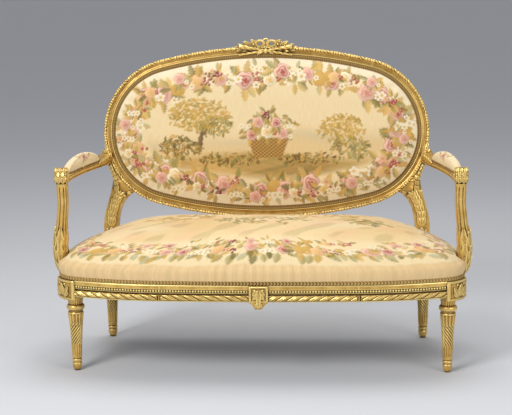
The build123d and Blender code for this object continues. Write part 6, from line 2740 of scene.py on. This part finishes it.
@dataclass
class ArmPads:
    """The padded tops of the arms, each a tapestry bolster in its braid."""

    arms: Arms
    finishes: Finishes
    start: float = 0.175
    stop: float = 0.840
    width: float = 0.0385
    height: float = 0.0435
    foot: float = 0.6482
    braid_pitch: float = 0.0075
    braid_length: float = 0.5

    def pad(self, side: Side) -> Piece:
        """Shape and swell one pad.

        Args:
            side: The half that it is on.

        Returns:
            The pad.
        """
        mesh = Carver(f"arm_pad_tapestry_{side.word}")
        made = bmesh.ops.create_uvsphere(mesh.bm, u_segments=40, v_segments=44, radius=1.0)
        low = {}
        for vert in made["verts"]:
            x, y, z = vert.co
            share = 0.5 + asin(max(-1.0, min(1.0, z))) / pi
            body = max(0.0, sin(pi * min(max(share, 0.0), 1.0) ** 0.80)) ** 0.55
            ring = sqrt(max(1e-9, 1 - z * z))
            cosine, sine = x / ring, y / ring
            upper = max(0.0, sine)
            point, right = self.arms.line(self.start + (self.stop - self.start) * share)
            over = self.width / 2 * bow(cosine, 0.75) * (0.55 + 0.45 * body) * (1 + 0.12 * upper * body)
            spot = point + right * (over if body >= 0.02 else 0.0)
            vert.co = (side * spot.x, spot.y, self.foot + self.height * body * upper**0.8)
            low[vert] = sine <= 0.05
        held = np.array([low[vert] for vert in mesh.bm.verts])
        piece = mesh.done(self.finishes.tapestry, "arm_tapestry", [f"arm_pad_{side.word}"], SOFT_CREASE)
        swell(piece, held, 2.0, 0.003)
        refine(piece)
        return piece

    def dress(self, piece: Piece) -> None:
        """Dye one pad: a few roses, blossoms and leaves on cream.

        Args:
            piece: The pad.
        """
        x, y, z = corners_of(piece.data).T
        path = np.array([self.arms.line(share)[0] for share in np.linspace(1, 0, 40)])
        over = np.abs(x) - np.interp(y, path[:, 1], path[:, 0])
        over += np.sign(over) * 0.7 * np.clip(self.foot + self.height - z, 0, None)
        middle = self.arms.line((self.start + self.stop) / 2)[0].y
        flat = np.stack((middle - y, over), axis=1)
        colours = np.tile(Dye.CREAM.wool, (len(flat), 1))
        wash(colours, ease(0.012, 0.036, z - self.foot) * 0.5, Dye.PALE)
        loom = Loom(flat, colours, 31)
        for hand in (-1, 1):
            centre = (0.012 * hand, 0.020 * hand)
            for heading in (0.5, 2.4, -0.7, 3.5):
                loom.leaf(centre, 0.034, 0.013, heading, Dye.OLIVE, Dye.SAGE)
            loom.rose(centre, 0.0150, Dye.BLUSH, Dye.CARMINE)
            for along, share, heading in ((0.034, 0.8, 0.4), (-0.036, 1.1, 2.7)):
                spot = (centre[0] + along, centre[1] * share)
                loom.blossom(spot, 0.0095, Dye.PEACH, Dye.OCHRE)
                loom.leaf(spot, 0.026, 0.011, heading, Dye.OLIVE, Dye.SAGE)
        tint(piece.data, colours, flat)

    def braid(self, side: Side) -> None:
        """Make the braid round the foot of one pad.

        Args:
            side: The half that it is on.
        """
        mesh = Carver(f"arm_braid_{side.word}")

        def outline(share: float, grow: float) -> Vector:
            """Give a point round the pad's foot, grown outwards.

            Args:
                share: Share of the way round.
                grow: How far it is grown.

            Returns:
                The point.
            """
            turn = 2 * pi * share
            extra = grow / 0.24
            along = 0.5 + 0.5 * bow(cos(turn), 0.55)
            point, right = self.arms.line(self.start - extra + (self.stop - self.start + 2 * extra) * along)
            return point + right * (bow(sin(turn), 0.55) * (self.width / 2 + grow))

        def place(x: float, y: float) -> Vector:
            """Place a corner of the braid.

            Args:
                x: Its place round the section, from -1 to 1.
                y: Its place along, from -1 to 1.

            Returns:
                The corner's place.
            """
            share = (y + 1) / 2 % 1.0
            angle = pi * x
            bump = 1 + 0.22 * cos(2 * pi * share * self.braid_length / self.braid_pitch + angle)
            spot = outline(share, 0.0012 + 0.0017 * bump * cos(angle))
            spot.z = self.foot + 0.0024 + 0.0022 * bump * sin(angle)
            return mirrored(side, spot)

        mesh.tube(10, 400, place)
        piece = self.finishes.gimp(mesh, f"arm_gimp_{side.word}")
        points = corners_of(piece.data)
        # Painted shade and highlight: darker and lighter stripes at the ribs' pitch.
        shade = 0.5 + 0.5 * np.sin(points[:, 1] * 2 * pi / self.braid_pitch)
        shade_braid(piece, shade, points[:, 1:])

    def build(self) -> None:
        """Make both pads."""
        for side in Side:
            self.dress(self.pad(side))
            self.braid(side)


@dataclass
class Inside:
    """The carried-over pieces that the upholstery hides, in their plain finishes."""

    finishes: Finishes

    def build(self) -> None:
        """Give each carried-over CAD node its finish."""
        rails = [f"cross_rail_{side.word}" for side in Side]
        blocks = [f"corner_block_{end}_{side.word}" for end in ("front", "back") for side in Side]
        dressed = {
            self.finishes.gilt: ["back_rail"],
            self.finishes.beech: [*rails, *blocks, "tenon_pegs", "back_frame_dowels"],
            self.finishes.jute: ["seat_webbing_long", "seat_webbing_cross", "back_webbing", "spring_lashing"],
            self.finishes.wire: ["seat_springs", "corner_block_screws"],
        }
        for finish, nodes in dressed.items():
            for node in nodes:
                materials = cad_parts[node].data.materials
                materials.clear()
                materials.append(finish)


@dataclass
class Studio:
    """The pale floor, the soft lights and the camera."""

    eye: Triple = (0.2488, -4.9928, 1.4106)
    pitch: float = radians(10.185)
    yaw: float = radians(-3.116)
    roll: float = radians(-0.553)
    lens: float = 105.47
    floor_reach: float = 90.0

    def hang(self, name: str, data: bpy.types.ID) -> Piece:
        """Put a floor, a lamp or a camera in the scene.

        Args:
            name: Its name.
            data: What it is.

        Returns:
            The object.
        """
        item = bpy.data.objects.new(name, data)
        bpy.context.scene.collection.objects.link(item)
        return item

    def floor(self) -> None:
        """Lay a wide pale floor."""
        mesh = bmesh.new()
        bmesh.ops.create_grid(mesh, x_segments=1, y_segments=1, size=self.floor_reach)
        data = bpy.data.meshes.new("floor")
        mesh.to_mesh(data)
        mesh.free()
        pale = {"Base Color": (0.72, 0.73, 0.75, 1.0), "Roughness": 0.6}
        data.materials.append(Shading("floor").coat(pale))
        self.hang("floor", data)

    def light(self, name: str, spot: Sequence[float], size: float, power: float) -> None:
        """Hang one soft light that faces the settee.

        Args:
            name: Its name.
            spot: Its place.
            size: The side of its square.
            power: Its power in watts.
        """
        data = bpy.data.lights.new(name, "AREA")
        data.shape = "SQUARE"
        data.size = size
        data.energy = power
        lamp = self.hang(name, data)
        lamp.location = spot
        lamp.rotation_mode = "QUATERNION"
        lamp.rotation_quaternion = (Vector((0, 0, 0.5)) - Vector(spot)).to_track_quat("-Z", "Y")

    def camera(self) -> None:
        """Set the camera at the photograph's place."""
        data = bpy.data.cameras.new("camera")
        data.sensor_width = 36.0
        data.lens = self.lens
        camera = self.hang("camera", data)
        turns = ((-self.yaw, "Z"), (pi / 2 - self.pitch, "X"), (self.roll, "Z"))
        yaw, pitch, roll = (Matrix.Rotation(angle, 4, axis) for angle, axis in turns)
        camera.matrix_world = Matrix.Translation(self.eye) @ yaw @ pitch @ roll
        bpy.context.scene.camera = camera

    def build(self) -> None:
        """Set up the studio."""
        scene = bpy.context.scene
        scene.view_settings.view_transform = "Standard"
        world = bpy.data.worlds.new("studio")
        world.use_nodes = True
        backdrop = world.node_tree.nodes["Background"]
        backdrop.inputs["Color"].default_value = (0.92, 0.94, 1.0, 1.0)
        backdrop.inputs["Strength"].default_value = 0.36
        scene.world = world
        self.floor()
        self.light("key", (-2.2, -3.4, 3.4), 1.6, 128.0)
        self.light("fill", (2.8, -3.0, 2.0), 2.0, 42.0)
        self.light("top", (0.2, 0.6, 3.6), 2.2, 50.0)
        self.camera()


def main() -> None:
    """Build the settee piece by piece."""
    logging.basicConfig(level=logging.INFO, format="%(relativeCreated)7.0f ms %(name)s %(message)s")
    finishes = Finishes.make()
    seat_plan = SeatPlan()
    oval = OvalPlan()
    leg = Leg()
    arms = Arms(oval, finishes)
    assemblies = (
        Studio(),
        OvalFrame(oval, finishes),
        Crest(oval, finishes),
        FrontLegs(seat_plan, finishes, leg),
        BackLegs(oval, finishes, leg),
        SeatRails(seat_plan, finishes),
        Boss(finishes),
        arms,
        ArmPads(arms, finishes),
        Back(oval, finishes),
        Seat(seat_plan, finishes),
        Inside(finishes),
    )
    for assembly in assemblies:
        log.info("building %s", type(assembly).__name__)
        assembly.build()


if __name__ == "__main__":
    main()
